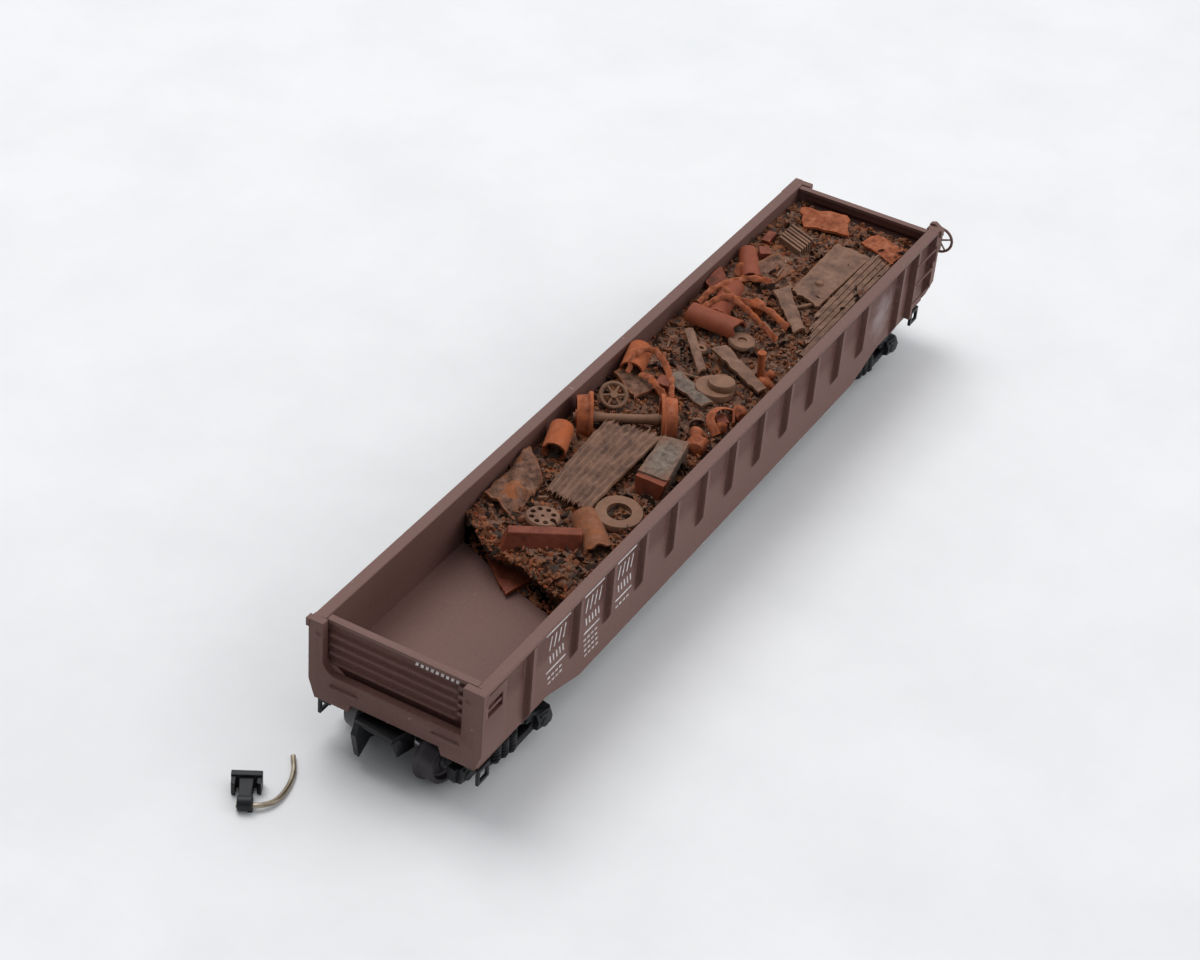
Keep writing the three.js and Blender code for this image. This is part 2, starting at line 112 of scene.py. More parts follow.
# Table top: matt white-painted board, faintly clouded.
table_paint, tree, where = blank("matt white-painted board")
finish_material(tree, {
    "Base Color": steps(tree, fractal(tree, where, 18, 5, 0.6), (0.35, "#e3e4e5"), (0.65, "#e9e9ea")),
    "Roughness": 0.75,
}, fractal(tree, where, 1.2, 4), 0.02)

sheet = bmesh.new()
bmesh.ops.create_grid(sheet, x_segments=1, y_segments=1, size=3.0,
                      matrix=Matrix.Translation((0, 0, -SILL_HEIGHT * MM)))
table_mesh = bpy.data.meshes.new("table")
sheet.to_mesh(table_mesh)
sheet.free()
table_mesh.materials.append(table_paint)
table = bpy.data.objects.new("table", table_mesh)
bpy.context.scene.collection.objects.link(table)

world = bpy.data.worlds.new("soft white room")
bpy.context.scene.world = world
world.use_nodes = True
room = world.node_tree
background = room.nodes["Background"]
background.inputs["Color"].default_value = linear("#eff1f4")
facing = add(room, "ShaderNodeVectorMath", {
    0: add(room, "ShaderNodeTexCoord").outputs["Generated"], 1: (0.8, -0.3, 0.5)}, operation="DOT_PRODUCT")
strength = add(room, "ShaderNodeMapRange", {"Value": facing.outputs["Value"], "From Min": -0.6, "From Max": 0.9,
                                            "To Min": 0.1, "To Max": 1.04})
room.links.new(strength.outputs["Result"], background.inputs["Strength"])


def softbox(name, place, aim, size, watts):
    """A square diffused lamp."""
    lamp = bpy.data.lights.new(name, "AREA")
    lamp.size, lamp.energy = size, watts
    obj = bpy.data.objects.new(name, lamp)
    obj.location = place
    obj.rotation_euler = (Vector(aim) - Vector(place)).to_track_quat("-Z", "Y").to_euler()
    bpy.context.scene.collection.objects.link(obj)


softbox("overhead softbox", (0.12, 0.34, 0.75), (0, 0, 0), 0.5, 3.5)
softbox("side fill", (0.35, -0.6, 0.4), (0, 0, 0), 0.5, 1.3)

camera_data = bpy.data.cameras.new("camera")
camera_data.lens, camera_data.sensor_width = 78.17, 36
camera_data.clip_start, camera_data.clip_end = 0.01, 10
camera = bpy.data.objects.new("camera", camera_data)
azimuth, elevation, roll = (math.radians(a) for a in (-62.772, 36.719, 5.119))
back = Vector((math.sin(azimuth) * math.cos(elevation),
               -math.cos(azimuth) * math.cos(elevation), math.sin(elevation)))
level = (-back).cross(Vector((0, 0, 1))).normalized()
upright = level.cross(-back)
right = level * math.cos(roll) + upright * math.sin(roll)
up = upright * math.cos(roll) - level * math.sin(roll)
camera.matrix_world = (Matrix.Translation((-0.20484, -0.098769, 0.169826))
                       @ Matrix((right, up, back)).transposed().to_4x4())
bpy.context.scene.collection.objects.link(camera)
bpy.context.scene.camera = camera
bpy.context.scene.view_settings.view_transform = "Standard"

# ---------------------------------------------------------------------------------------------
# Car sides
# Each side is one wall of the styrene body moulding: a thin sheet with a chord along its top,
# a lower edge that drops between the trucks, and pressed ribs with a sharp crest on a soft
# root. Moulded in plastic and sprayed with flat box-car brown.
HALF = 50.82
CHORD_Y = 9.75
SHEET_Y = 8.95
WALL_Y = 8.45
TOP = 15.5
SKIRT, BELLY = 5.45, 3.6
BELLY_OUT, BELLY_IN = 37.5, 31.0
END_T = 0.9

# Flat enamel: an even, slightly chalky red-brown; pale dust in specks; convex edges painted
# lighter, partly edge wear and partly a painted highlight.
body_paint, tree, where = blank("flat box-car brown enamel on styrene")
cloud = steps(tree, fractal(tree, where, 6, 4), (0.3, "#5a3b35"), (0.7, "#63423b"))
fine = mixed(tree, 0.35, cloud, steps(tree, fractal(tree, where, 0.35, 2), (0.35, "#56362f"), (0.65, "#6c4a42")))
# convex edges mixed towards pale #8d7068: edge wear together with a painted edge highlight
edge_highlight_and_wear = steps(tree, add(tree, "ShaderNodeNewGeometry").outputs["Pointiness"],
             (0.51, "#000000"), (0.56, "#ffffff"))
edged = mixed(tree, add(tree, "ShaderNodeMath", {0: edge_highlight_and_wear, 1: 0.3}, operation="MULTIPLY").outputs[0],
              fine, linear("#8d7068"))
specks = steps(tree, fractal(tree, where, 0.7, 1), (0.79, "#000000"), (0.81, "#ffffff"))
rub_place = add(tree, "ShaderNodeVectorMath", {0: where, 1: (0.0375, -0.009, 0.0062)}, operation="DISTANCE")
rub = steps(tree, add(tree, "ShaderNodeMath", {
    0: add(tree, "ShaderNodeMath", {0: rub_place.outputs["Value"], 1: 150.0}, operation="MULTIPLY").outputs[0],
    1: fractal(tree, where, 2.2, 4, 0.6)}, operation="ADD").outputs[0], (0.6, "#b4b4b4"), (0.98, "#000000"))
edged = mixed(tree, rub, edged, linear("#a99f9c"))  # chalky rub mark on one panel
finish_material(tree, {
    "Base Color": mixed(tree, specks, edged, linear("#927a73")),
    "Roughness": 0.62, "IOR": 1.48, "Specular IOR Level": 0.35,
}, fractal(tree, where, 0.25, 3), 0.012)


def polygon_prism(bm, outline, axis, low, high):
    """A flat outline carried along an axis. The outline's own axes are the other two, in order."""
    def place(a, b, t):
        spot = [a, b]
        spot.insert(axis, t)
        return spot
    ends = [[bm.verts.new(place(a, b, t)) for a, b in outline] for t in (low, high)]
    bm.faces.new(ends[0])
    bm.faces.new(list(reversed(ends[1])))
    count = len(outline)
    for i in range(count):
        j = (i + 1) % count
        bm.faces.new((ends[0][i], ends[0][j], ends[1][j], ends[1][i]))


def block(bm, x, y, z):
    """A box from three low and high pairs."""
    polygon_prism(bm, [(x[0], y[0]), (x[1], y[0]), (x[1], y[1]), (x[0], y[1])], 2, *z)


def skin(bm, rings, closed_ends=True):
    """Bridges a list of equal closed rings of points and caps the two ends."""
    made = [[bm.verts.new(p) for p in ring] for ring in rings]
    count = len(made[0])
    for a, b in zip(made, made[1:]):
        for i in range(count):
            j = (i + 1) % count
            bm.faces.new((a[i], a[j], b[j], b[i]))
    if closed_ends:
        bm.faces.new(list(reversed(made[0])))
        bm.faces.new(made[-1])


def mesh_from(bm, name, placed=None, crease=40):
    """Turns a drawing in millimetres into a clean mesh in metres from the car's origin."""
    bmesh.ops.remove_doubles(bm, verts=bm.verts, dist=1e-4)
    bmesh.ops.recalc_face_normals(bm, faces=bm.faces)
    bm.transform(Matrix.Scale(MM, 4) @ Matrix.Translation((0, 0, -SILL_HEIGHT)) @ (placed or Matrix()))
    mesh = bpy.data.meshes.new(name)
    bm.to_mesh(mesh)
    bm.free()
    mesh.shade_smooth()
    if crease:
        mesh.set_sharp_from_angle(angle=math.radians(crease))
    return mesh


def piece(name, mesh, material, body, stands_for=(), soften_mm=0.0):
    """Hangs a finished mesh on its body, with its edges eased if it was moulded."""
    mesh.materials.clear()
    mesh.materials.append(material)
    obj = bpy.data.objects.new(name, mesh)
    bpy.context.scene.collection.objects.link(obj)
    if soften_mm:
        bevel = obj.modifiers.new("eased edges", "BEVEL")
        bevel.width, bevel.segments = soften_mm * MM, 2
        bevel.limit_method, bevel.angle_limit = "ANGLE", math.radians(28)
        bevel.harden_normals = True
    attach(obj, body)
    if stands_for:
        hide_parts(*stands_for)
    return obj


def sheet_bottom(x):
    """Height of the side sheet's lower edge."""
    drop = min(max((BELLY_OUT - abs(x)) / (BELLY_OUT - BELLY_IN), 0), 1)
    return SKIRT + (BELLY - SKIRT) * drop


def side_section(x):
    """One upright slice of the right-hand wall, from the outer foot round to the inner foot."""
    foot = sheet_bottom(x)
    return [
        (x, -WALL_Y, foot), (x, -SHEET_Y + 0.06, foot), (x, -SHEET_Y, foot + 0.06),
        (x, -SHEET_Y, 9), (x, -SHEET_Y, 12), (x, -SHEET_Y, TOP - 1.02), (x, -SHEET_Y - 0.1, TOP - 0.9),
        (x, -CHORD_Y + 0.04, TOP - 0.4), (x, -CHORD_Y, TOP - 0.32), (x, -CHORD_Y, TOP - 0.07),
        (x, -CHORD_Y + 0.07, TOP), (x, -WALL_Y - 0.07, TOP), (x, -WALL_Y, TOP - 0.07), (x, -WALL_Y, 12),
    ]


stations = sorted({s * v for s in (-1, 1) for v in (
    HALF - END_T, 46, 42, BELLY_OUT, 36, 34, 32.5, BELLY_IN, 26, 21, 16, 11, 6, 0)})
for side, flip in (("right", 1), ("left", -1)):
    wall = bmesh.new()
    skin(wall, [[(x, y * flip, z) for x, y, z in side_section(x)] for x in stations])
    piece(f"{side}_side", mesh_from(wall, f"{side}_side", crease=30), body_paint, "body",
          ["body_shell"] if side == "right" else ())

# ---------------------------------------------------------------------------------------------
# Ribs
# Thirteen ribs stand off each side, moulded in one with it: a wide root with a hollow flank
# each side of a narrow flat crest, cut away on a slant at the foot. The eleven between the
# trucks are short; the one over each truck runs to the lower edge.
RIB_FOOT = 7.35
RIB_PITCH, RIB_COUNT, RIB_FIRST = 6.42, 11, -33.0
RIBS_LONG = (-41.7, 40.9)
RIB_CREST, RIB_ROOT = 0.27, 0.62  # half widths


def rib_shape(foot):
    """One rib drawn at x = 0 on the right-hand side, its back buried in the sheet."""
    def ring(z, rise):
        points = [(-RIB_ROOT, -SHEET_Y + 0.15, z), (RIB_ROOT, -SHEET_Y + 0.15, z)]
        for sign in (1, -1):
            flank = [(RIB_ROOT - (RIB_ROOT - RIB_CREST) * t ** 0.4, t ** 1.25) for t in (0, 0.15, 0.35, 0.6, 0.8, 1)]
            for d, t in flank if sign > 0 else reversed(flank):
                points.append((sign * d, -SHEET_Y - (CHORD_Y - SHEET_Y - 0.03) * t * rise, z))
        return points
    slant = 1.6
    heights = [(foot + slant * u, min(1, 0.02 + u ** 0.9)) for u in (0, 0.15, 0.35, 0.6, 0.85, 1)]
    bm = bmesh.new()
    skin(bm, [ring(z, rise) for z, rise in heights + [(11, 1), (TOP - 0.5, 1)]])
    return bm


def row_tree():
    """Copies of a shape set out in a straight row: its own inputs are the shape, the count,
    where the first one goes and the step to the next."""
    group = bpy.data.node_groups.new("row of copies", "GeometryNodeTree")
    face = group.interface
    face.new_socket("Shape", in_out="INPUT", socket_type="NodeSocketObject")
    face.new_socket("Count", in_out="INPUT", socket_type="NodeSocketInt")
    face.new_socket("First", in_out="INPUT", socket_type="NodeSocketVector")
    face.new_socket("Step", in_out="INPUT", socket_type="NodeSocketVector")
    face.new_socket("Finish", in_out="INPUT", socket_type="NodeSocketMaterial")
    face.new_socket("Geometry", in_out="OUTPUT", socket_type="NodeSocketGeometry")
    given = group.nodes.new("NodeGroupInput").outputs
    line = add(group, "GeometryNodeMeshLine", {
        "Count": given["Count"], "Start Location": given["First"], "Offset": given["Step"]})
    shape = add(group, "GeometryNodeObjectInfo", {"Object": given["Shape"]})
    copies = add(group, "GeometryNodeInstanceOnPoints", {
        "Points": line.outputs["Mesh"], "Instance": shape.outputs["Geometry"]})
    real = add(group, "GeometryNodeRealizeInstances", {"Geometry": copies.outputs["Instances"]})
    painted = add(group, "GeometryNodeSetMaterial", {
        "Geometry": real.outputs["Geometry"], "Material": given["Finish"]})
    add(group, "NodeGroupOutput", {"Geometry": painted.outputs["Geometry"]})
    return group


def grown(name, group, settings, base=None):
    """Runs a geometry tree once and returns the plain mesh it makes."""
    holder = bpy.data.objects.new(name, base or bpy.data.meshes.new(name))
    bpy.context.scene.collection.objects.link(holder)
    modifier = holder.modifiers.new(name, "NODES")
    modifier.node_group = group
    for item in group.interface.items_tree:
        if item.in_out == "INPUT" and item.name in settings:
            modifier[item.identifier] = settings[item.name]
    graph = bpy.context.evaluated_depsgraph_get()
    mesh = bpy.data.meshes.new_from_object(holder.evaluated_get(graph))
    bpy.data.objects.remove(holder)
    mesh.name = name
    return mesh


def pattern(name, bm, placed=None, crease=40):
    """A shape kept aside to be copied, about the car's origin."""
    obj = bpy.data.objects.new(name, mesh_from(bm, name, placed, crease))
    bpy.context.scene.collection.objects.link(obj)
    return obj


def merged(meshes, name):
    """Several plain meshes as one."""
    bm = bmesh.new()
    for mesh in meshes:
        bm.from_mesh(mesh)
    whole = bpy.data.meshes.new(name)
    bm.to_mesh(whole)
    bm.free()
    whole.shade_smooth()
    whole.set_sharp_from_angle(angle=math.radians(40))
    return whole


rows = row_tree()
for side, flip in (("right", 1), ("left", -1)):
    mirror = Matrix.Diagonal((1, flip, 1, 1))
    shorts = pattern("short rib", rib_shape(RIB_FOOT), mirror)
    longs = pattern("long rib", rib_shape(SKIRT), mirror)
    runs = [(shorts, RIB_COUNT, RIB_FIRST, RIB_PITCH),
            (longs, 2, RIBS_LONG[0], RIBS_LONG[1] - RIBS_LONG[0])]
    made = [grown("ribs", rows, {
        "Shape": shape, "Count": count, "First": (first * MM, 0, 0), "Step": (step * MM, 0, 0),
        "Finish": body_paint}) for shape, count, first, step in runs]
    piece(f"{side}_ribs", merged(made, f"{side}_ribs"), body_paint, "body")
    for shape in (shorts, longs):
        bpy.data.objects.remove(shape)

# ---------------------------------------------------------------------------------------------
# End frames, corner plates and ladders
# Each end of the moulding is an open U that the drop end stands behind. Its right-hand corner
# is boxed in by a wide plate with a shallow pocket and a slit under its cap; the left-hand
# corner is a narrow post with three rungs to a stile. Same moulding, same paint.
SILL_TOP = 9.58
OPENING_LEFT, OPENING_RIGHT, OPENING_CORNER = 8.15, -7.4, 1.5


def end_frame(bm):
    """The near end's flat frame, with the rounded lower corner of its opening."""
    outer = [
        (-CHORD_Y, TOP), (-CHORD_Y, 8.17), (-9.08, 6), (-5.3, 6), (-5, 6.95),
        (4.9, 6.95), (5.2, 6), (9.08, 6), (CHORD_Y, 8.17), (CHORD_Y, TOP),
    ]
    inner = [(OPENING_LEFT, TOP)]
    for i in range(9):
        a = math.pi / 2 * (1 - i / 8)
        inner.append((OPENING_LEFT - OPENING_CORNER * (1 - math.sin(a)),
                      SILL_TOP + OPENING_CORNER * (1 - math.cos(a))))
    inner += [(OPENING_RIGHT, SILL_TOP), (OPENING_RIGHT, TOP)]
    polygon_prism(bm, outer + inner, 0, -HALF, -HALF + END_T)


def carved(solid, cutter, name, crease=30):
    """The first drawing with the second one cut out of it."""
    whole, cut = pattern(name, solid, None, 0), pattern("cutter", cutter, None, 0)
    modifier = whole.modifiers.new("cut", "BOOLEAN")
    modifier.object, modifier.operation, modifier.solver = cut, "DIFFERENCE", "EXACT"
    graph = bpy.context.evaluated_depsgraph_get()
    mesh = bpy.data.meshes.new_from_object(whole.evaluated_get(graph))
    for obj in (whole, cut):
        bpy.data.objects.remove(obj)
    mesh.set_sharp_from_angle(angle=math.radians(crease))
    return mesh


def corner_plate():
    """The wide right-hand corner, with a pocket sunk in it and a slit under its cap."""
    proud, back_face = CHORD_Y + 0.03, -SHEET_Y + 0.1
    plate, cuts = bmesh.new(), bmesh.new()
    outline = [(back_face, TOP + 0.02), (back_face, 6.02), (-9.08, 6.02), (-proud, 8.17), (-proud, TOP + 0.02)]
    polygon_prism(plate, outline, 0, -HALF - 0.02, -46.9)
    block(cuts, (-50.4, -47.5), (-11, -CHORD_Y + 0.6), (12.3, 13.9))
    block(cuts, (-50.2, -46), (-11, -CHORD_Y + 0.3), (14.98, 15.15))
    return carved(plate, cuts, "corner plate")


def corner_post(bm):
    """The narrow left-hand corner with its stile and a small lug at the top."""
    back_face, proud = SHEET_Y - 0.1, CHORD_Y + 0.03
    outline = [(back_face, TOP + 0.02), (back_face, 6.02), (9.08, 6.02), (proud, 8.17), (proud, TOP + 0.02)]
    polygon_prism(bm, outline, 0, -HALF - 0.02, -49.7)
    block(bm, (-45.3, -44.7), (back_face, CHORD_Y), (SKIRT + 0.3, TOP - 0.4))
    block(bm, (-HALF - 0.1, -50.1), (CHORD_Y - 0.1, CHORD_Y + 0.3), (14.6, TOP + 0.06))


def rod(bm, start, end, radius, sides=12, end_radius=None):
    """A straight round bar, tapered if it has an end radius."""
    a, b = Vector(start), Vector(end)
    along = (b - a).normalized()
    u = along.orthogonal().normalized()
    v = along.cross(u)
    rings = []
    for spot, r in ((a, radius), (b, radius if end_radius is None else end_radius)):
        rings.append([spot + (u * math.cos(t) + v * math.sin(t)) * r
                      for t in (2 * math.pi * i / sides for i in range(sides))])
    skin(bm, rings)


def bent_bar(bm, path, radius, sides=10, squash=1.0):
    """A bar bent along a path of points; squash flattens it into a strap."""
    points = [Vector(p) for p in path]
    tangents = [(points[min(i + 1, len(points) - 1)] - points[max(i - 1, 0)]).normalized()
                for i in range(len(points))]
    u = tangents[0].orthogonal().normalized()
    rings = []
    for spot, along in zip(points, tangents):
        u = (u - along * u.dot(along)).normalized()
        v = along.cross(u)
        rings.append([spot + u * (radius * math.cos(t)) + v * (radius * squash * math.sin(t))
                      for t in (2 * math.pi * i / sides for i in range(sides))])
    skin(bm, rings)


def grab_iron(bm, start, end, stand_off, radius=0.12):
    """A round bar held off a face by a bent foot at each end."""
    a, b, out = Vector(start), Vector(end), Vector(stand_off)
    along = (b - a).normalized() * 0.15
    bent_bar(bm, [a - out * 0.6, a + out * 0.7, a + out + along, b + out - along, b + out * 0.7, b - out * 0.6],
             radius, 8)


for end in ("near", "far"):
    turned = Matrix.Rotation(math.pi if end == "far" else 0, 4, "Z")
    frame_bm = bmesh.new()
    end_frame(frame_bm)
    piece(f"{end}_end_frame", mesh_from(frame_bm, "end frame", turned, 0), body_paint, "body",
          soften_mm=0.09)
    plate_mesh = corner_plate()
    plate_mesh.transform(turned)
    piece(f"{end}_corner_plate", plate_mesh, body_paint, "body", soften_mm=0.05)
    post_bm = bmesh.new()
    corner_post(post_bm)
    piece(f"{end}_corner_post", mesh_from(post_bm, "corner post", turned, 0), body_paint, "body",
          soften_mm=0.05)
    irons = bmesh.new()
    for sign in (-1, 1):
        grab_iron(irons, (-HALF, sign * 4.3, 8.32), (-HALF, sign * 7.2, 8.32), (-0.25, 0, 0))
    grab_iron(irons, (-50.3, -CHORD_Y + 0.3, 13.1), (-47.6, -CHORD_Y + 0.3, 13.1), (0, -0.2, 0))
    grab_iron(irons, (-49.9, CHORD_Y - 0.2, 13.6), (-49.9, CHORD_Y - 0.2, 11.4), (-0.0, 0.3, 0))
    piece(f"{end}_grab_irons", mesh_from(irons, "grab irons", turned), body_paint, "body")

    # three rungs between the corner post and the stile
    rung = bmesh.new()
    bent_bar(rung, [(-49.9, CHORD_Y - 0.25, 0), (-49.8, CHORD_Y, 0), (-49.6, CHORD_Y + 0.05, 0),
                    (-45.1, CHORD_Y + 0.05, 0), (-44.9, CHORD_Y, 0), (-44.8, CHORD_Y - 0.25, 0)], 0.13, 8)
    rung_pattern = pattern("rung", rung, turned)
    rungs = grown("rungs", rows, {
        "Shape": rung_pattern, "Count": 3, "First": (0, 0, 8.0 * MM), "Step": (0, 0, 2.6 * MM),
        "Finish": body_paint})
    piece(f"{end}_rungs", rungs, body_paint, "body")
    bpy.data.objects.remove(rung_pattern)

# ---------------------------------------------------------------------------------------------
# Floor
# The hold's flat floor, part of the body moulding and painted with it. It runs under the scrap
# casting from one drop end to the other.
floor_bm = bmesh.new()
floor_x = HALF - END_T + 0.05
polygon_prism(floor_bm, [(-WALL_Y - 0.1, 8.1), (WALL_Y + 0.1, 8.1), (WALL_Y + 0.1, 8.9), (-WALL_Y - 0.1, 8.9)],
              0, -floor_x, floor_x)
piece("floor", mesh_from(floor_bm, "floor", crease=50), body_paint, "body")

# ---------------------------------------------------------------------------------------------
# Drop ends
# A separate pressed panel stands behind each end frame: four soft ridges across it that stop
# short of the right-hand edge, a plain strip with four short cleats beside them, a bright thin
# top edge and both lower corners cut away.
PANEL_X = -HALF + END_T + 0.05
PANEL_FOOT = 8.95
RIDGE, RIDGE_PITCH, RIDGE_LOW = 0.34, 1.12, 9.75


def panel_half_width(z):
    """The panel narrows below its cut-away corners."""
    full = WALL_Y - 0.05
    if z >= 10.4:
        return full
    return 4.9 + (full - 0.2 - 4.9) * max(0, (z - PANEL_FOOT + 0.9)) / (10.4 - PANEL_FOOT + 0.9)


def panel_face(y, z):
    """How far the outer face stands back from the frame."""
    phase = (z - RIDGE_LOW) / RIDGE_PITCH
    wave = math.sin(math.pi * (phase % 1)) ** 2 if 0 < phase < 4 else 0
    fade = min(max((y + 6.6) / 0.5, 0), 1) * min(max((8.3 - y) / 0.3, 0), 1)
    return PANEL_X + RIDGE * (1 - wave * fade)


drop_end = bmesh.new()
heights = [PANEL_FOOT + (TOP - 0.12 - PANEL_FOOT) * i / 60 for i in range(61)]
across = [-1, -0.9, -0.83, -0.8, -0.775, -0.75, -0.72] + [-0.6 + 0.2 * i for i in range(8)] + [0.95, 0.98, 1]
faces = {}
for depth in (0, 0.45):
    for i, z in enumerate(heights):
        width = panel_half_width(z)
        for j, u in enumerate(across):
            y = u * width
            faces[depth, i, j] = drop_end.verts.new((panel_face(y, z) + depth, y, z))
last_i, last_j = len(heights) - 1, len(across) - 1
for depth in (0, 0.45):
    for i in range(last_i):
        for j in range(last_j):
            drop_end.faces.new([faces[depth, i + a, j + b] for a, b in ((0, 0), (0, 1), (1, 1), (1, 0))])
for i in range(last_i):
    for j in (0, last_j):
        drop_end.faces.new([faces[0, i, j], faces[0, i + 1, j], faces[0.45, i + 1, j], faces[0.45, i, j]])
for j in range(last_j):
    for i in (0, last_i):
        drop_end.faces.new([faces[0, i, j], faces[0, i, j + 1], faces[0.45, i, j + 1], faces[0.45, i, j]])
block(drop_end, (PANEL_X + 0.1, PANEL_X + 0.9), (-WALL_Y + 0.06, WALL_Y - 0.06), (TOP - 0.5, TOP - 0.1))
for k in range(4):
    z = 10.9 + 1.05 * k
    block(drop_end, (PANEL_X + 0.02, PANEL_X + 0.5), (-7.35, -6.35), (z, z + 0.42))
drop_end_mesh = mesh_from(drop_end, "drop end", crease=35)
for end in ("near", "far"):
    mesh = drop_end_mesh.copy()
    if end == "far":
        mesh.transform(Matrix.Rotation(math.pi, 4, "Z"))
    piece(f"{end}_drop_end_panel", mesh, body_paint, "body", [f"{end}_drop_end"])

# ---------------------------------------------------------------------------------------------
# Bolt heads
# Round-headed bolts on the end frames' corner posts. Moulded and painted with the body.
bolt = bmesh.new()
bmesh.ops.create_uvsphere(bolt, u_segments=14, v_segments=8, radius=0.3,
                          matrix=Matrix.Diagonal((0.55, 1, 1, 1)))
bolt_pattern = pattern("bolt head", bolt)
for end, places in (("near", ((-HALF, 8.65), (-HALF, -7.95))), ("far", ((HALF, -8.65),))):
    heads = [grown("bolts", rows, {
        "Shape": bolt_pattern, "Count": 1, "First": (x * MM, y * MM, 13.9 * MM), "Step": (0, 0, 0),
        "Finish": body_paint}) for x, y in places]
    piece(f"{end}_bolt_heads", merged(heads, "bolts"), body_paint, "body")
bpy.data.objects.remove(bolt_pattern)

# ---------------------------------------------------------------------------------------------
# Brake wheel and housing
# A five-spoked hand wheel on a short shaft, and the gear housing it comes out of, at the far
# right corner. Small plastic mouldings painted with the car.
BRAKE_X, BRAKE_Y, BRAKE_Z, BRAKE_R = 52.2, -9.2, 13.1, 1.75
wheel_bm = bmesh.new()
rim = [(BRAKE_X, BRAKE_Y + (BRAKE_R - 0.18) * math.sin(a), BRAKE_Z + (BRAKE_R - 0.18) * math.cos(a))
       for a in (2 * math.pi * i / 40 for i in range(40))]
rings = []
for i, spot in enumerate(rim):
    a = 2 * math.pi * i / 40
    out = Vector((0, math.sin(a), math.cos(a)))
    rings.append([Vector(spot) + out * 0.17 * math.cos(t) + Vector((0.17 * math.sin(t), 0, 0))
                  for t in (2 * math.pi * k / 10 for k in range(10))])
skin(wheel_bm, rings + rings[:1], closed_ends=False)
for k in range(5):
    a = math.radians(72 * k)
    tip = (BRAKE_X, BRAKE_Y + 1.6 * math.sin(a), BRAKE_Z + 1.6 * math.cos(a))
    rod(wheel_bm, (BRAKE_X - 0.15, BRAKE_Y, BRAKE_Z), tip, 0.13, 8, 0.1)
rod(wheel_bm, (BRAKE_X - 0.3, BRAKE_Y, BRAKE_Z), (BRAKE_X + 0.2, BRAKE_Y, BRAKE_Z), 0.36, 16, 0.28)
rod(wheel_bm, (HALF + 0.3, BRAKE_Y, BRAKE_Z), (BRAKE_X, BRAKE_Y, BRAKE_Z), 0.24, 12)
piece("brake_hand_wheel", mesh_from(wheel_bm, "brake hand wheel"), body_paint, "brake_wheel",
      ["brake_wheel"])

housing = bmesh.new()
y, z = BRAKE_Y, BRAKE_Z
polygon_prism(housing, [
    (y - 0.55, z - 0.9), (y + 0.9, z - 0.9), (y + 1.1, z + 0.5), (y + 1.1, TOP + 0.1),
    (y + 0.5, TOP + 0.3), (y - 0.3, TOP - 0.2), (y - 0.55, z + 0.8)], 0, HALF + 0.05, HALF + 0.75)
rod(housing, (HALF + 0.7, y, z), (HALF + 0.95, y, z), 0.42, 14)
piece("brake_gear_housing", mesh_from(housing, "brake gear housing", crease=0), body_paint, "body",
      ["brake_housing"], soften_mm=0.08)

# ---------------------------------------------------------------------------------------------
# Underframe, ballast plate and king pins
# A black acetal moulding with the centre sill, cross-bearers and step stirrups; a plain steel
# plate sandwiched above it for weight; and the two headed pins the trucks turn on.

# Acetal: self-coloured satin black, faintly waxy, with fine mould texture.
black_acetal, tree, where = blank("moulded black acetal")
finish_material(tree, {
    "Base Color": steps(tree, fractal(tree, where, 2.5, 4), (0.3, "#0d0e11"), (0.7, "#17181b")),
    "Roughness": 0.46, "IOR": 1.48, "Specular IOR Level": 0.4,
}, fractal(tree, where, 0.2, 2), 0.01)

# Sheared steel strip: cool grey, fine scratches along the rolling direction.
plain_steel, tree, where = blank("sheared mild steel")
stretched = add(tree, "ShaderNodeMapping", {"Vector": where, "Scale": (0.05, 1, 1)}).outputs["Vector"]
finish_material(tree, {
    "Base Color": steps(tree, fractal(tree, stretched, 0.3, 3), (0.3, "#8b8c8f"), (0.7, "#a6a6a8")),
    "Metallic": 1.0, "Roughness": 0.38,
}, fractal(tree, stretched, 0.15, 2), 0.004)


def eased_copy(node, name, material, body, soften_mm=0.06):
    """A CAD moulding with its edges eased as a mould leaves them."""
    bm = bmesh.new()
    bm.from_mesh(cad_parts[node].data)
    bmesh.ops.remove_doubles(bm, verts=bm.verts, dist=1e-6)
    bmesh.ops.dissolve_limit(bm, angle_limit=math.radians(1), verts=bm.verts, edges=bm.edges)
    mesh = bpy.data.meshes.new(name)
    bm.to_mesh(mesh)
    bm.free()
    mesh.shade_smooth()
    return piece(name, mesh, material, body, [node], soften_mm)


def keep(node, material):
    """A CAD piece shown as it is, in its own material."""
    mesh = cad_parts[node].data
    mesh.materials.clear()
    mesh.materials.append(material)


eased_copy("underframe", "underframe_moulding", black_acetal, "body", 0.05)
keep("ballast_plate", plain_steel)
for end in ("near", "far"):
    keep(f"{end}_king_pin", black_acetal)

# ---------------------------------------------------------------------------------------------
# Trucks
# Two-axle freight trucks: one black acetal moulding each, with two sideframes, a bolster and
# the coupler pocket. Dummy spring coils and journal-box lids are moulded on the faces.
TRUCK_X = {"near": -41.8, "far": 38.1}
TRUCK_YAW = {"near": -11, "far": 171}
AXLE_HALF = 5.4
FRAME_FACE = 7.9


def truck_place(end):
    """Where a truck drawn about its king pin stands under the car."""
    return Matrix.Translation((TRUCK_X[end], 0, 0)) @ Matrix.Rotation(math.radians(TRUCK_YAW[end]), 4, "Z")


def coil(bm, x, y, low, high, radius, wire, turns):
    """A spring coil standing upright."""
    count = turns * 14
    bent_bar(bm, [(x + radius * math.cos(a), y + radius * math.sin(a), low + (high - low) * i / count)
                  for i, a in ((i, 2 * math.pi * turns * i / count) for i in range(count + 1))], wire, 6)


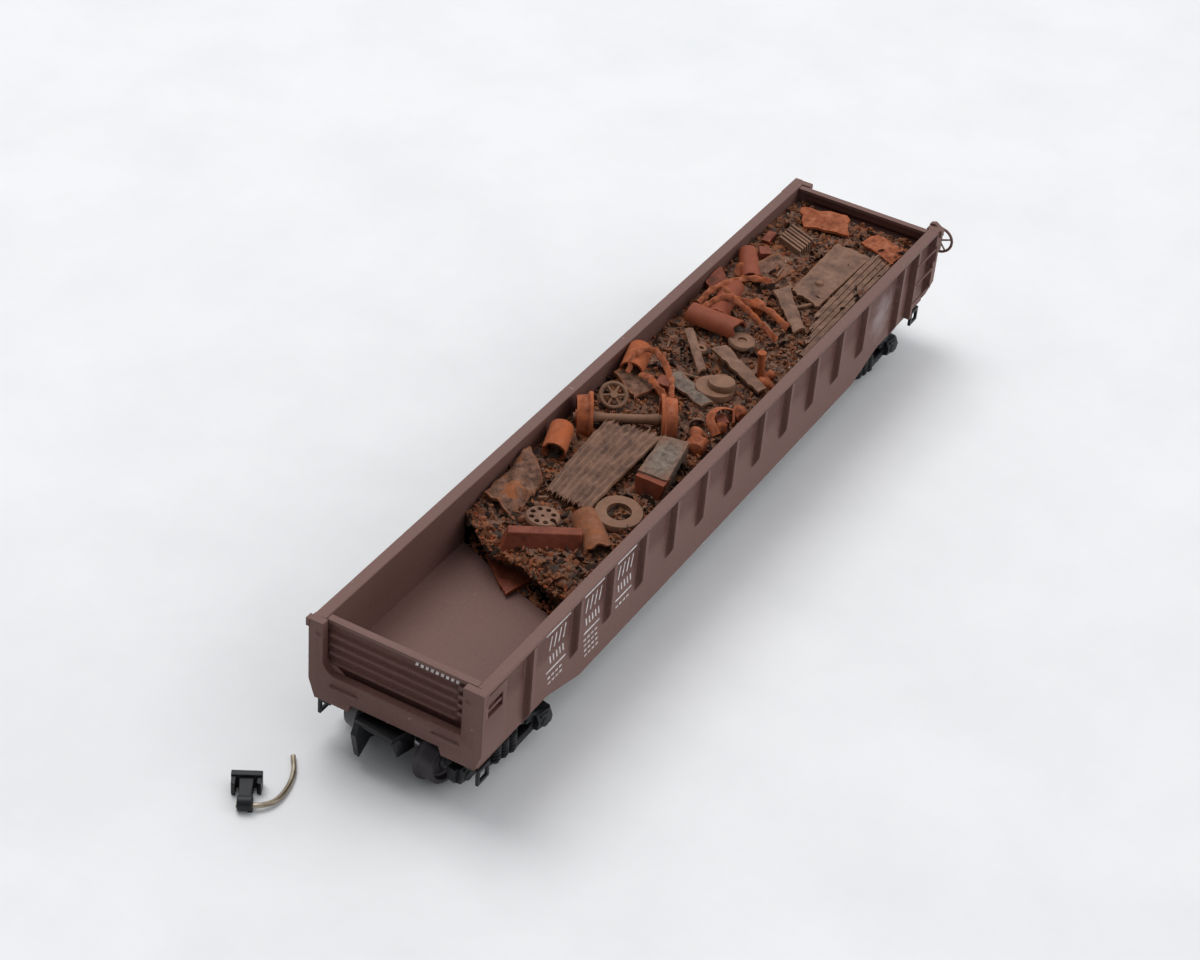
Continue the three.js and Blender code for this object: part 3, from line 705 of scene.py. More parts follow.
for end in ("near", "far"):
    eased_copy(f"{end}_truck_frame", f"{end}_truck_moulding", black_acetal, f"{end}_truck")
    trim = bmesh.new()
    for side in (-1, 1):
        for x in (-1.1, 0, 1.1):
            coil(trim, x, side * FRAME_FACE, 1.7, 3.8, 0.5, 0.13, 5)
        for x in (-AXLE_HALF, AXLE_HALF):
            face_y = side * (FRAME_FACE + 0.6)
            rod(trim, (x, face_y - side * 0.2, 2.9), (x, face_y + side * 0.12, 2.9), 0.62, 18, 0.5)
            rod(trim, (x - 0.55, face_y - side * 0.1, 3.75), (x + 0.55, face_y - side * 0.1, 3.75), 0.13, 8)
        for x in (-3.2, 3.2):
            rod(trim, (x, side * (FRAME_FACE - 0.1), 3.9), (x, side * (FRAME_FACE + 0.16), 3.9), 0.2, 8)
    piece(f"{end}_truck_detail", mesh_from(trim, "truck detail", truck_place(end)), black_acetal,
          f"{end}_truck")

# ---------------------------------------------------------------------------------------------
# Wheelsets
# Each axle is turned steel with pointed ends and carries two one-piece plastic wheels: a
# flange, a coned tread and a dished face with a raised hub.

# Wheel plastic: dark purple-grey, satin, slightly polished on the tread.
wheel_plastic, tree, where = blank("moulded wheel nylon")
finish_material(tree, {
    "Base Color": steps(tree, fractal(tree, where, 1.2, 3), (0.3, "#241d22"), (0.7, "#312930")),
    "Roughness": 0.42, "IOR": 1.5,
}, fractal(tree, where, 0.2, 2), 0.006)

TREAD_R, AXLE_R, AXLE_Z, WHEEL_IN = 2.6, 0.5, 3.0, 3.75
WHEEL_SECTION = [
    (AXLE_R + 0.03, 0.1), (0.95, 0.1), (1.05, 0.3), (1.85, 0.42), (2.0, 0.25), (2.35, 0.08), (2.8, 0.02),
    (2.95, 0.1), (3.0, 0.28), (2.93, 0.45), (2.72, 0.6), (2.63, 0.75), (2.55, 2.05), (2.48, 2.13),
    (2.12, 2.15), (2.04, 2.05), (1.92, 1.62), (1.75, 1.52), (1.12, 1.6), (1.0, 1.7), (0.92, 2.02),
    (0.85, 2.1), (AXLE_R + 0.03, 2.1),
]


def turned_shape(bm, section, axis_point, side, segments=56):
    """A section of radii and distances out, turned about a line along Y."""
    rings = []
    for i in range(segments):
        a = 2 * math.pi * i / segments
        rings.append([Vector(axis_point) + Vector((r * math.cos(a), side * t, r * math.sin(a)))
                      for r, t in section])
    skin(bm, rings + rings[:1], closed_ends=False)


for end in ("near", "far"):
    for place, x in (("outer", -AXLE_HALF), ("inner", AXLE_HALF)):
        body = f"{end}_{place}_wheelset"
        keep(f"{end}_{place}_axle", plain_steel)
        for name, side in (("left", 1), ("right", -1)):
            wheel_bm = bmesh.new()
            turned_shape(wheel_bm, WHEEL_SECTION, (x, side * WHEEL_IN, AXLE_Z), side)
            piece(f"{end}_{place}_{name}_wheel", mesh_from(wheel_bm, "wheel", truck_place(end), 35),
                  wheel_plastic, body, [f"{end}_{place}_wheel_{name}"])

# ---------------------------------------------------------------------------------------------
# Far coupler
# An acetal knuckle coupler with a coil spring behind it, a cover under its pocket and a bent
# bronze trip pin through its head.

# Blackened phosphor-bronze wire: dull gold-grey with darker patches from chemical blackening.
bronze_wire, tree, where = blank("chemically dulled bronze wire")
finish_material(tree, {
    "Base Color": steps(tree, fractal(tree, where, 1.5, 3), (0.3, "#7a6e5e"), (0.5, "#a49784"), (0.7, "#bcb2a2")),
    "Metallic": 0.85, "Roughness": 0.34,
}, fractal(tree, where, 0.15, 2), 0.004)

eased_copy("far_coupler", "far_coupler_moulding", black_acetal, "far_coupler", 0.07)
eased_copy("far_pocket_cover", "far_pocket_plate", black_acetal, "far_truck", 0.06)
keep("far_coupler_spring", plain_steel)


def smooth_path(points, count):
    """A soft curve through a few given points."""
    spots = [Vector(p) for p in points]
    spots = [spots[0] * 2 - spots[1]] + spots + [spots[-1] * 2 - spots[-2]]
    path = []
    spans = len(spots) - 3
    for n in range(count + 1):
        s = min(int(n / count * spans), spans - 1)
        t = n / count * spans - s
        a, b, c, d = spots[s:s + 4]
        path.append(0.5 * (2 * b + (c - a) * t + (2 * a - 5 * b + 4 * c - d) * t * t
                           + (3 * b - a - 3 * c + d) * t ** 3))
    return path


PIN_X = -11.95
pin = bmesh.new()
bent_bar(pin, smooth_path([(PIN_X, 0, 5.25), (PIN_X, 0, 3.2), (PIN_X + 0.15, 0.1, 2.3), (PIN_X + 0.9, 0.5, 1.5),
                           (PIN_X + 2.1, 1.3, 1.1)], 40), 0.25, 14)
piece("far_coupler_trip_pin", mesh_from(pin, "trip pin", truck_place("far")), bronze_wire, "far_coupler",
      ["far_trip_pin"])

# ---------------------------------------------------------------------------------------------
# Dropped coupler
# The near truck's coupler has come out and lies on its side on the table: a black T-shaped
# moulding, knuckle and guard arm outermost, with its bronze trip pin curving away from it.
FALLEN_X, FALLEN_Y, FALLEN_TURN = -59.6, 10.6, 122
fallen_place = Matrix.Translation((FALLEN_X, FALLEN_Y, 0)) @ Matrix.Rotation(math.radians(FALLEN_TURN), 4, "Z")
head = bmesh.new()
block(head, (-1.5, 1.5), (-0.75, -0.05), (0.02, 1.75))
polygon_prism(head, [(-1.52, -0.4), (-1.0, -0.4), (-0.98, 0.75), (-1.42, 0.95)], 2, 0.04, 1.5)
polygon_prism(head, [(0.95, -0.4), (1.48, -0.4), (1.44, 0.95), (1.02, 1.1)], 2, 0.05, 1.55)
polygon_prism(head, [(-0.72, -0.2), (0.72, -0.2), (0.6, 2.6), (-0.6, 2.6)], 2, 0.03, 1.42)
rod(head, (-0.72, 2.75, 0.78), (0.72, 2.75, 0.78), 0.74, 24)
block(head, (-0.8, -0.3), (2.2, 3.3), (0.05, 1.25))
piece("loose_coupler_moulding", mesh_from(head, "loose coupler", fallen_place, 0), black_acetal,
      "loose_coupler", ["loose_coupler"], soften_mm=0.1)
loose_wire = bmesh.new()
bent_bar(loose_wire, smooth_path([
    (0.8, 2.9, 0.6), (-0.9, 2.9, 0.6), (-1.9, 2.65, 0.55), (-2.8, 2, 0.45),
    (-3.5, 0.9, 0.38), (-4.05, -0.7, 0.3), (-4.28, -2.4, 0.28), (-4.1, -4.4, 0.28)], 80), 0.27, 14)
piece("loose_coupler_wire", mesh_from(loose_wire, "loose wire", fallen_place), bronze_wire,
      "loose_coupler", ["loose_trip_pin"])

# ---------------------------------------------------------------------------------------------
# Markings
# White pad-printed ink on both sides: a rule above and below, two rows of upright strokes and
# two, four and one rows of small dashes in the three panels nearest one end, with a short row on the
# drop end. They stand for lettering and spell nothing.
INK = 0.025

# Pad-printing ink: opaque white, thin enough to pick up the brown beneath it.
ink, tree, where = blank("white pad-printing ink")
finish_material(tree, {
    "Base Color": steps(tree, fractal(tree, where, 0.4, 2), (0.35, "#b3aaa8"), (0.6, "#d9d5d3")),
    "Roughness": 0.6,
})


def stroke(width, height, lean=0.0):
    """A printed stroke lying on the right-hand sheet, its middle at the origin's height."""
    bm = bmesh.new()
    w, h = width / 2, height / 2
    polygon_prism(bm, [(-w - lean, -h), (w - lean, -h), (w + lean, h), (-w + lean, h)], 1, -INK, INK)
    return bm


def strokes(width, height, lean, count, first, step):
    """A row of one printed stroke."""
    shape = pattern("stroke", stroke(width, height, lean), Matrix.Translation((0, 0, SILL_HEIGHT)))
    run = grown("strokes", rows, {
        "Shape": shape, "Count": count, "Step": [v * MM for v in step], "Finish": ink,
        "First": [first[0] * MM, first[1] * MM, (first[2] - SILL_HEIGHT) * MM]})
    bpy.data.objects.remove(shape)
    return run


PANELS = {"first": (-38.4, -33.9, 2), "second": (-31.2, -27.4, 4), "third": (-25.0, -21.0, 1)}
for side, flip in (("right", 1), ("left", -1)):
    printed = []
    for start, stop, data_rows in PANELS.values():
        middle, face = (start + stop) / 2, -SHEET_Y * flip
        wide = stop - start
        printed.append(strokes(wide, 0.2, 0, 1, (middle, face, 13.65), (0, 0, 0)))
        printed.append(strokes(wide * 0.8, 0.2, 0, 1, (middle, face, 8.7), (0, 0, 0)))
        printed.append(strokes(0.2, 1.6, 0.16, 4, (middle - 1.3, face, 12.2), (0.85, 0, 0)))
        printed.append(strokes(0.2, 1.0, -0.12, 5, (middle - 1.2, face, 10.1), (0.6, 0, 0)))
        for k in range(data_rows):
            printed.append(strokes(0.45, 0.22, 0, 4, (middle - 1.2 + 0.15 * k, face, 7.8 - 0.75 * k), (0.72, 0, 0)))
    piece(f"{side}_markings", merged(printed, f"{side}_markings"), ink, "body")
end_row = strokes(0.3, 0.42, 0.04, 9, (1.6, PANEL_X + 0.32, 14.62), (0.56, 0, 0))
end_row.transform(Matrix(((0, 1, 0, 0), (-1, 0, 0, 0), (0, 0, 1, 0), (0, 0, 0, 1))))
piece("near_end_markings", end_row, ink, "body")

# ---------------------------------------------------------------------------------------------
# Scrap load: bed
# One resin casting fills the hold from just past the near truck to the far end. Its bed is a
# lumpy crust with its hollows painted darker, dirt and painted shade together, and a crumbling,
# overhanging near edge.
LOAD_FAR, LOAD_SIDE, CRUST, HOLD_FLOOR = 48.4, 8.38, 12.9, 8.92
NEAR_EDGE = [(-8.5, -31.6), (-6, -31), (-4, -30.4), (-1.7, -29.4), (0.4, -28.9), (3.4, -28.9),
             (5.2, -27.8), (6.7, -26.5), (8.1, -25.7), (8.5, -25.4)]


def rusty(name, dark, base, pale, fresh, share, lump_mm, depth_mm, roughness=0.8):
    """Rust-washed resin: mottled from dark to pale, fresh rust in patches and along sharp
    edges, hollows darkened towards near black, settled dirt together with painted shade."""
    material, tree, where = blank(name)
    mottle = steps(tree, fractal(tree, where, lump_mm, 6, 0.65), (0.34, dark), (0.48, base), (0.66, pale))
    patch = steps(tree, fractal(tree, where, 3.5, 5, 0.62), (0.66 - share, "#000000"), (0.74 - share, "#ffffff"))
    bent = add(tree, "ShaderNodeNewGeometry").outputs["Pointiness"]
    edge = steps(tree, bent, (0.52, "#000000"), (0.6, "#ffffff"))
    # hollows (low pointiness) are mixed towards near-black #1d1512 below: settled dirt together with painted shade
    hollow = steps(tree, bent, (0.4, "#ffffff"), (0.48, "#000000"))
    part = add(tree, "ShaderNodeMath", {0: edge, 1: 0.55}, operation="MULTIPLY").outputs[0]
    deep = add(tree, "ShaderNodeMath", {0: hollow, 1: 0.75}, operation="MULTIPLY").outputs[0]
    rusted = mixed(tree, part, mixed(tree, patch, mottle, linear(fresh)), linear(fresh))
    finish_material(tree, {
        "Base Color": mixed(tree, deep, rusted, linear("#1d1512")),
        "Roughness": roughness, "Specular IOR Level": 0.3,
    }, fractal(tree, where, lump_mm * 0.6, 5, 0.6), depth_mm)
    return material


# Crust: earthy brown with dark grit, orange where it has broken away.
crust = rusty("rust-washed resin crust", "#33251f", "#654536", "#81604f", "#8c5230", 0.1, 0.9, 0.08, 0.85)
# Old plate: dull grey-brown, evenly rusted.
old_plate = rusty("evenly rusted plate", "#533b31", "#6e5041", "#82624f", "#866048", 0.02, 1.6, 0.02, 0.7)
# Red oxide: primer gone to a deep red-brown.
red_oxide = rusty("red oxide primer on plate", "#58291b", "#6e3322", "#7d4430", "#8b4325", 0.05, 1.4, 0.02, 0.65)
# Fresh rust: bright orange-brown, powdery.
fresh_rust = rusty("powdery fresh rust", "#6a3a28", "#8f4d30", "#a5654a", "#a2552f", 0.1, 0.8, 0.03, 0.9)
# Weathered casting: mottled grey over brown.
grey_casting = rusty("weathered grey casting", "#4c3f38", "#66584e", "#7c6d61", "#7a4b31", 0.0, 0.7, 0.03, 0.75)
# Grit: nearly black slag with a dull metallic glint.
grit = rusty("black slag grit", "#241c18", "#463830", "#6f6053", "#6b4a36", 0.0, 0.4, 0.02, 0.5)


def near_edge(y):
    """Where the bed's broken near edge stands across the car."""
    for (a, xa), (b, xb) in zip(NEAR_EDGE, NEAR_EDGE[1:]):
        if y <= b:
            return xa + (xb - xa) * (y - a) / (b - a) + 0.35 * noise.noise(Vector((y * 1.9, 4, 0)))
    return NEAR_EDGE[-1][1]


def crust_height(x, y):
    """Height of the crust above the table."""
    back_from_edge = min(1, max(0, (x - near_edge(y)) / 2.6))
    rise = 0.75 * min(1, max(0, (x - 10) / 25))
    lumps = (0.42 * noise.noise(Vector((x * 0.5, y * 0.5, 0))) + 0.3 * noise.noise(Vector((x * 1.6, y * 1.6, 7)))
             + 0.16 * noise.noise(Vector((x * 4.2, y * 4.2, 3))))
    return CRUST + rise + lumps - 0.7 * (1 - back_from_edge) ** 2


bed = bmesh.new()
lanes = [-LOAD_SIDE + 2 * LOAD_SIDE * j / 84 for j in range(85)]
rings = []
for i in range(-4, 330):
    ring = []
    for y in lanes:
        start = near_edge(y)
        along = max(i, 0) / 329
        x = start + (LOAD_FAR - start) * along
        z = crust_height(x, y)
        if i < 0:
            up = (i + 4) / 4
            x += 0.45 * noise.noise(Vector((y * 2.4, up * 4, 9))) + 1.9 * (1 - up ** 2)
            z = HOLD_FLOOR + 0.02 + (z - HOLD_FLOOR) * up
        ring.append((x, y, z))
    rings.append(ring + [(ring[j][0], lanes[j], HOLD_FLOOR) for j in (84, 42, 0)])
skin(bed, rings)
bed_mesh = mesh_from(bed, "scrap bed", crease=55)
scatter_base = bed_mesh.copy()
piece("scrap_bed", bed_mesh, crust, "scrap_load", ["scrap_load"])

# ---------------------------------------------------------------------------------------------
# Scrap load: sheets and plates
# Thin cast sheets lie across the crust: one corrugated, one crumpled, a big flat one beside
# parallel planks, and smaller torn plates, each a little bent.


def sheet_shape(bm, corners, thick, lift=0.0, crumple=0.0, ridges=0, ridge_high=0.16, ragged=0.0, seed=0):
    """A sheet over four corners in order; ridges run from the first side to the third."""
    a, b, c, d = (Vector(p) for p in corners)
    wide, deep = max(8, int((b - a).length * 3)), max(8, ridges * 10, int((d - a).length * 3))
    grid = {}
    for i in range(wide + 1):
        for j in range(deep + 1):
            u, v = i / wide, j / deep
            edge = ragged * noise.noise(Vector((i * 0.5, j * 0.5, seed + 40)))
            if i in (0, wide):
                u += edge * (0.06 if i == 0 else -0.06)
            spot = a.lerp(b, u).lerp(d.lerp(c, u), v)
            z = lift * 4 * u * (1 - u) + crumple * noise.noise(Vector((spot.x * 0.8, spot.y * 0.8, seed)))
            z += ridge_high * math.sin(2 * math.pi * ridges * v) if ridges else 0
            for level, drop in ((0, 0), (1, thick)):
                grid[i, j, level] = bm.verts.new(spot + Vector((0, 0, z - drop)))
    for level in (0, 1):
        for i in range(wide):
            for j in range(deep):
                bm.faces.new([grid[i + p, j + q, level] for p, q in ((0, 0), (1, 0), (1, 1), (0, 1))])
    for i in range(wide):
        for j in (0, deep):
            bm.faces.new([grid[i, j, 0], grid[i + 1, j, 0], grid[i + 1, j, 1], grid[i, j, 1]])
    for j in range(deep):
        for i in (0, wide):
            bm.faces.new([grid[i, j, 0], grid[i, j + 1, 0], grid[i, j + 1, 1], grid[i, j, 1]])


def scrap(name, bm, material, crease=40, soften_mm=0.0):
    """Finishes one item of the load and hangs it on the casting."""
    return piece(name, mesh_from(bm, name, crease=crease), material, "scrap_load", (), soften_mm)


item = bmesh.new()
sheet_shape(item, [(-19.2, -2.2, 13.8), (-3.9, -2.5, 14.2), (-5.2, 3.9, 14.3), (-18.6, 3.1, 13.9)],
            0.3, 0.3, 0.2, 8, 0.13, 1.2, 3)
scrap("corrugated_sheet", item, old_plate, 60)

item = bmesh.new()
sheet_shape(item, [(-24.0, 3.9, 12.9), (-22.6, 8.0, 13.4), (-13.9, 8.1, 14.3), (-17.8, 4.0, 13.9)],
            0.35, 0.7, 0.6, 0, 0, 1.6, 11)
scrap("crumpled_sheet", item, crust, 60)

item = bmesh.new()
sheet_shape(item, [(28.6, -4.5, 14.15), (41.6, -4.9, 14.3), (41.6, -0.4, 14.5), (29.6, -0.6, 14.35)],
            0.35, 0.1, 0.12, 0, 0, 0.7, 21)
scrap("flat_sheet", item, old_plate, 60)

# planks beside the big sheet, stepping down towards the side
for k in range(5):
    item = bmesh.new()
    y = -4.95 - 0.68 * k
    start = 26.5 - 2.6 * k
    sheet_shape(item, [(start, y - 0.58, 14.15 - 0.07 * k), (42.2 - 0.3 * k, y - 0.58, 14.3 - 0.07 * k),
                       (42.2 - 0.3 * k, y, 14.3 - 0.07 * k), (start, y, 14.15 - 0.07 * k)],
                0.3, 0.05, 0.08, 0, 0, 1.2, 30 + k)
    scrap(f"plank_{k + 1}", item, old_plate, 60)

torn_plates = {
    "floor_plate": ([(-30.8, 0.2, 9.5), (-26.2, -1.2, 9.5), (-25.6, 5.6, 9.5), (-26.8, 5.0, 9.5)], red_oxide),
    "pale_plate": ([(22.2, -4.6, 14.1), (23.6, -5.3, 14.1), (29.2, -0.4, 14.9), (27.4, 0.7, 14.9)], old_plate),
    "long_flat_bar": ([(9.6, -6.7, 13.9), (10.9, -7.0, 13.9), (14.9, 0.2, 14.5), (13.2, 1.1, 14.5)], old_plate),
    "narrow_strip": ([(9.2, 0.5, 13.8), (10.3, 0.1, 13.8), (15.8, 4.8, 14.4), (14.9, 5.4, 14.4)], old_plate),
    "broad_strip": ([(4.2, -2.6, 13.5), (5.6, -3.4, 13.5), (8.3, 2.2, 13.9), (6.0, 3.1, 13.9)], grey_casting),
    "far_orange_plate": ([(43.2, 4.7, 14.2), (44.6, -0.5, 14.2), (47.6, 1.0, 14.9), (45.8, 6.6, 14.9)], fresh_rust),
    "far_orange_patch": ([(42.4, -7.4, 13.9), (46.2, -7.6, 13.9), (46.6, -3.4, 14.4), (43.8, -2.6, 14.4)], fresh_rust),
    "red_plate": ([(24.4, 6.8, 13.6), (27.2, 6.2, 13.6), (28.8, 8.2, 14.6), (25.2, 8.3, 14.6)], red_oxide),
    "leaning_plate": ([(30.2, 2.4, 13.5), (34.2, 1.4, 13.7), (35.4, 4.2, 14.7), (31.2, 5.4, 14.6)], crust),
    "near_wall_plate": ([(1.2, 4.0, 13.4), (4.4, 3.0, 13.4), (7.2, 6.4, 14.1), (3.4, 7.8, 14.2)], crust),
}
for n, (name, (corners, finish)) in enumerate(torn_plates.items()):
    item = bmesh.new()
    sheet_shape(item, corners, 0.32, 0.15, 0.25, 0, 0, 1.4, 50 + 5 * n)
    scrap(name, item, finish, 60)

# ---------------------------------------------------------------------------------------------
# Scrap load: castings and machined parts
# Solid lumps among the sheets: a box beam, a crate on its side, a flat ring, a drilled flange,
# stacked discs, a corrugated block and a small spoked wheel.


def roughened(bm, amount, size_mm, seed):
    """Pushes a shape's points about, as a hand-carved master has them."""
    for v in bm.verts:
        spot = v.co / size_mm + Vector((seed, 0, 0))
        v.co += amount * noise.noise_vector(spot)


# box beam with a raked near face
item = bmesh.new()
along, across = Vector((0.53, -0.848, 0)), Vector((-0.848, -0.53, 0))
foot = Vector((-27.9, 2.2, 0))
section = [(0.95, 11.7), (-0.1, 14.5), (-1.15, 14.6), (-1.3, 11.7)]
skin(item, [[foot + along * (s + rake * (1 if z > 13 else 0)) + across * p + Vector((0, 0, z)) for p, z in section]
            for s, rake in ((-0.9, 1.1), (2, 0), (4, 0), (7.6, 0))])
scrap("box_beam", item, red_oxide, 20, 0.12)

# crate: mottled top, red near end
item = bmesh.new()
top = [(-4.8, -2.8), (-4.2, -5.6), (-11.4, -7.0), (-11.6, -3.6)]
rings = [[(x + dx, y, z) for x, y in top] for z, dx in ((11.6, -0.9), (13.4, -0.3), (14.9, 0))]
skin(item, rings)
bmesh.ops.subdivide_edges(item, edges=item.edges, cuts=4, use_grid_fill=True)
roughened(item, 0.1, 0.8, 3)
scrap("crate", item, grey_casting, 35)
item = bmesh.new()
polygon_prism(item, [(-6.4, 10.6), (-4.4, 10.6), (-3.7, 14.7), (-7.0, 14.7)], 0, -12.9, -11.3)
bmesh.ops.subdivide_edges(item, edges=item.edges, cuts=3, use_grid_fill=True)
for v in item.verts:
    v.co.x += (v.co.z - 11.6) * 0.2
roughened(item, 0.06, 0.9, 8)
scrap("crate_end", item, red_oxide, 35)


def disc_shape(bm, centre, radius, thick, tilt=(0, 0), bore=0.0, sides=40):
    """A flat disc or ring standing on a tilted seat; the bore goes right through."""
    tip = Matrix.Translation(centre) @ Matrix.Rotation(tilt[0], 4, "X") @ Matrix.Rotation(tilt[1], 4, "Y")
    section = [(bore, 0), (radius, 0), (radius + 0.02, thick * 0.5), (radius - 0.12, thick), (bore, thick)]
    if not bore:
        section = [(0.01, 0), *section[1:-1], (0.01, thick)]
    rings = [[tip @ Vector((r * math.cos(t), r * math.sin(t), z)) for r, z in section]
             for t in (2 * math.pi * i / sides for i in range(sides))]
    skin(bm, rings + rings[:1], closed_ends=False)


item = bmesh.new()
disc_shape(item, (-17.5, -4.85, 13.2), 2.55, 0.62, (0.06, -0.05), 1.3, 48)
roughened(item, 0.05, 0.9, 5)
scrap("flat_ring", item, old_plate, 35)

flange, holes = bmesh.new(), bmesh.new()
disc_shape(flange, (-22.6, 1.1, 13.3), 1.8, 0.5, (0.05, 0.06), 0.0, 40)
for k in range(9):
    a, r = 2 * math.pi * k / 8, 0 if k == 8 else 1.15
    rod(holes, (-22.6 + r * math.cos(a), 1.1 + r * math.sin(a), 13.1),
        (-22.6 + r * math.cos(a), 1.1 + r * math.sin(a), 14.5), 0.29 if k < 8 else 0.2, 14)
piece("drilled_flange", carved(flange, holes, "drilled flange"), old_plate, "scrap_load")

item = bmesh.new()
disc_shape(item, (7.9, -2.2, 13.1), 2.25, 0.7, (0.04, 0.05))
disc_shape(item, (8.5, -2.75, 13.7), 1.55, 0.65, (-0.03, 0.08))
disc_shape(item, (17.3, -0.6, 13.6), 1.55, 0.5, (0.1, 0), 0.55)
disc_shape(item, (17.3, -0.6, 13.5), 0.9, 0.4)
disc_shape(item, (13.1, 2.4, 13.7), 0.75, 0.5, (0.2, 0.1), 0.3, 24)
disc_shape(item, (32.6, -2.6, 14.2), 0.5, 0.45, (0, 0), 0.0, 20)
scrap("stacked_discs", item, old_plate, 30)

# small spoked wheel lying back against the wall
item = bmesh.new()
lean = Matrix.Translation((-0.6, 5.6, 14.2)) @ Matrix.Rotation(-0.5, 4, "Y") @ Matrix.Rotation(0.35, 4, "X")
rim_path = [lean @ Vector((1.4 * math.cos(t), 1.4 * math.sin(t), 0)) for t in (2 * math.pi * i / 36 for i in range(37))]
bent_bar(item, rim_path, 0.24, 8)
for k in range(6):
    t = math.pi * k / 3
    rod(item, lean @ Vector((0, 0, 0.05)), lean @ Vector((1.35 * math.cos(t), 1.35 * math.sin(t), 0)), 0.16, 8)
rod(item, lean @ Vector((0, 0, -0.3)), lean @ Vector((0, 0, 0.35)), 0.42, 14)
scrap("spoked_wheel", item, old_plate)

# corrugated block towards the far end, and small boxes
item = bmesh.new()
for k in range(6):
    lift = 0.06 * (k % 2)
    corner = Vector((37.2 + 0.62 * k, 2.2, 0))
    skin(item, [[corner + Vector((dx, dy, z)) for dx, dy in ((0, 0), (0.4, 0.05), (2.0, 3.6), (1.6, 3.6))]
                for z in (12.8, 14.3 + lift, 14.62 + lift)])
scrap("corrugated_block", item, old_plate, 25, 0.06)
item = bmesh.new()
for x, y, z, w, d, h, turn in ((34.6, 5.6, 13.4, 1.7, 1.2, 1.5, 0.6), (4.6, 2.3, 13.2, 1.8, 1.5, 1.4, 0.2),
                               (3.0, -5.7, 12.7, 1.6, 1.2, 1.1, 0.9), (38.6, 7.0, 13.2, 2.4, 1.0, 1.1, 0.1)):
    box_at = Matrix.Translation((x, y, z + h / 2)) @ Matrix.Rotation(turn, 4, "Z") @ Matrix.Diagonal((w, d, h, 1))
    bmesh.ops.create_cube(item, size=1, matrix=box_at)
bmesh.ops.subdivide_edges(item, edges=item.edges, cuts=2, use_grid_fill=True)
roughened(item, 0.12, 0.7, 14)
scrap("small_boxes", item, red_oxide, 30, 0.05)

# ---------------------------------------------------------------------------------------------
# Scrap load: wheelset
# A full-sized wheelset's two wheels stand upright on their axle, half sunk in the crust.
WHEEL_LEFT, WHEEL_RIGHT, SCRAP_R = Vector((-5.6, 6.3, 13.9)), Vector((-0.9, -1.3, 14.0)), 2.45
item = bmesh.new()
axle_way = (WHEEL_RIGHT - WHEEL_LEFT).normalized()
side_way = axle_way.cross(Vector((0, 0, 1))).normalized()
up_way = side_way.cross(axle_way)
for centre, way in ((WHEEL_LEFT, 1), (WHEEL_RIGHT, -1)):
    profile = [(0.5, -0.75), (1.9, -0.55), (2.1, -0.85), (SCRAP_R + 0.35, -0.85), (SCRAP_R + 0.35, -0.5),
               (SCRAP_R, -0.3), (SCRAP_R - 0.1, 0.85), (2.0, 0.85), (1.85, 0.4), (0.9, 0.5), (0.8, 0.95), (0.5, 0.95)]
    rings = [[centre + axle_way * (way * -d) + (side_way * math.cos(t) + up_way * math.sin(t)) * r for r, d in profile]
             for t in (2 * math.pi * i / 48 for i in range(48))]
    skin(item, rings + rings[:1], closed_ends=False)
scrap("scrap_wheels", item, fresh_rust, 35)
item = bmesh.new()
rod(item, WHEEL_LEFT - axle_way * 1.2, WHEEL_RIGHT + axle_way * 1.2, 0.52, 20)
rod(item, WHEEL_LEFT + axle_way * 1.0, WHEEL_LEFT + axle_way * 2.2, 0.68, 20, 0.52)
rod(item, WHEEL_RIGHT - axle_way * 2.2, WHEEL_RIGHT - axle_way * 1.0, 0.52, 20, 0.68)
scrap("scrap_axle", item, old_plate)

# ---------------------------------------------------------------------------------------------
# Scrap load: pipes, ducts and straps
# Hollow pieces, their mouths darkened by near-black balls set inside as painted shade, and flat
# straps sprung into loops over the heap.


def tube_shape(bm, start, end, radius, wall, sweep=(0, 2 * math.pi), sides=28, ragged=0.0, flare=1.0):
    """A hollow pipe, or part of one, with thick walls and open ends."""
    a, b = Vector(start), Vector(end)
    along = (b - a).normalized()
    u = along.cross(Vector((0, 0, 1))).normalized()
    v = u.cross(along)
    full = sweep[1] - sweep[0] > 6.28
    rings = []
    for i in range(sides + (0 if full else 1)):
        t = sweep[0] + (sweep[1] - sweep[0]) * i / sides
        out = u * math.cos(t) + v * math.sin(t)
        torn = along * ragged * noise.noise(Vector((t * 2.2, 0, start[0])))
        rings.append([a + torn + out * radius * flare, a + torn + out * (radius * flare - wall),
                      b + out * (radius - wall), b + out * radius])
    skin(bm, rings + (rings[:1] if full else []), closed_ends=not full)


item = bmesh.new()
tube_shape(item, (-12.9, 5.7, 13.9), (-9.2, 6.9, 14.3), 1.32, 0.22, ragged=0.25)
scrap("pipe_stub", item, fresh_rust)
item = bmesh.new()
tube_shape(item, (-23.9, -6.4, 12.8), (-19.4, -2.0, 12.8), 1.5, 0.24, (0.0, math.pi), 24, 0.9, 1.08)
scrap("half_pipe", item, crust, 50)
item = bmesh.new()
tube_shape(item, (18.4, 0.4, 13.9), (18.6, 6.6, 13.8), 1.6, 0.25, (0.1, math.pi - 0.1), 20, 0.4)
tube_shape(item, (19.4, 4.0, 14.0), (26.4, 5.2, 14.0), 1.3, 0.25, (0.2, math.pi - 0.2), 20, 0.5)
tube_shape(item, (29.0, 4.4, 13.9), (34.0, 7.4, 14.0), 1.2, 0.25, (0, math.pi), 20, 0.6)
scrap("ducts", item, red_oxide, 50)
item = bmesh.new()
tube_shape(item, (4.4, 6.3, 14.2), (8.2, 7.3, 14.6), 1.35, 0.22)
scrap("open_drum", item, fresh_rust)
# near-black slag balls set inside each pipe mouth: painted shade inside the pipes
item = bmesh.new()
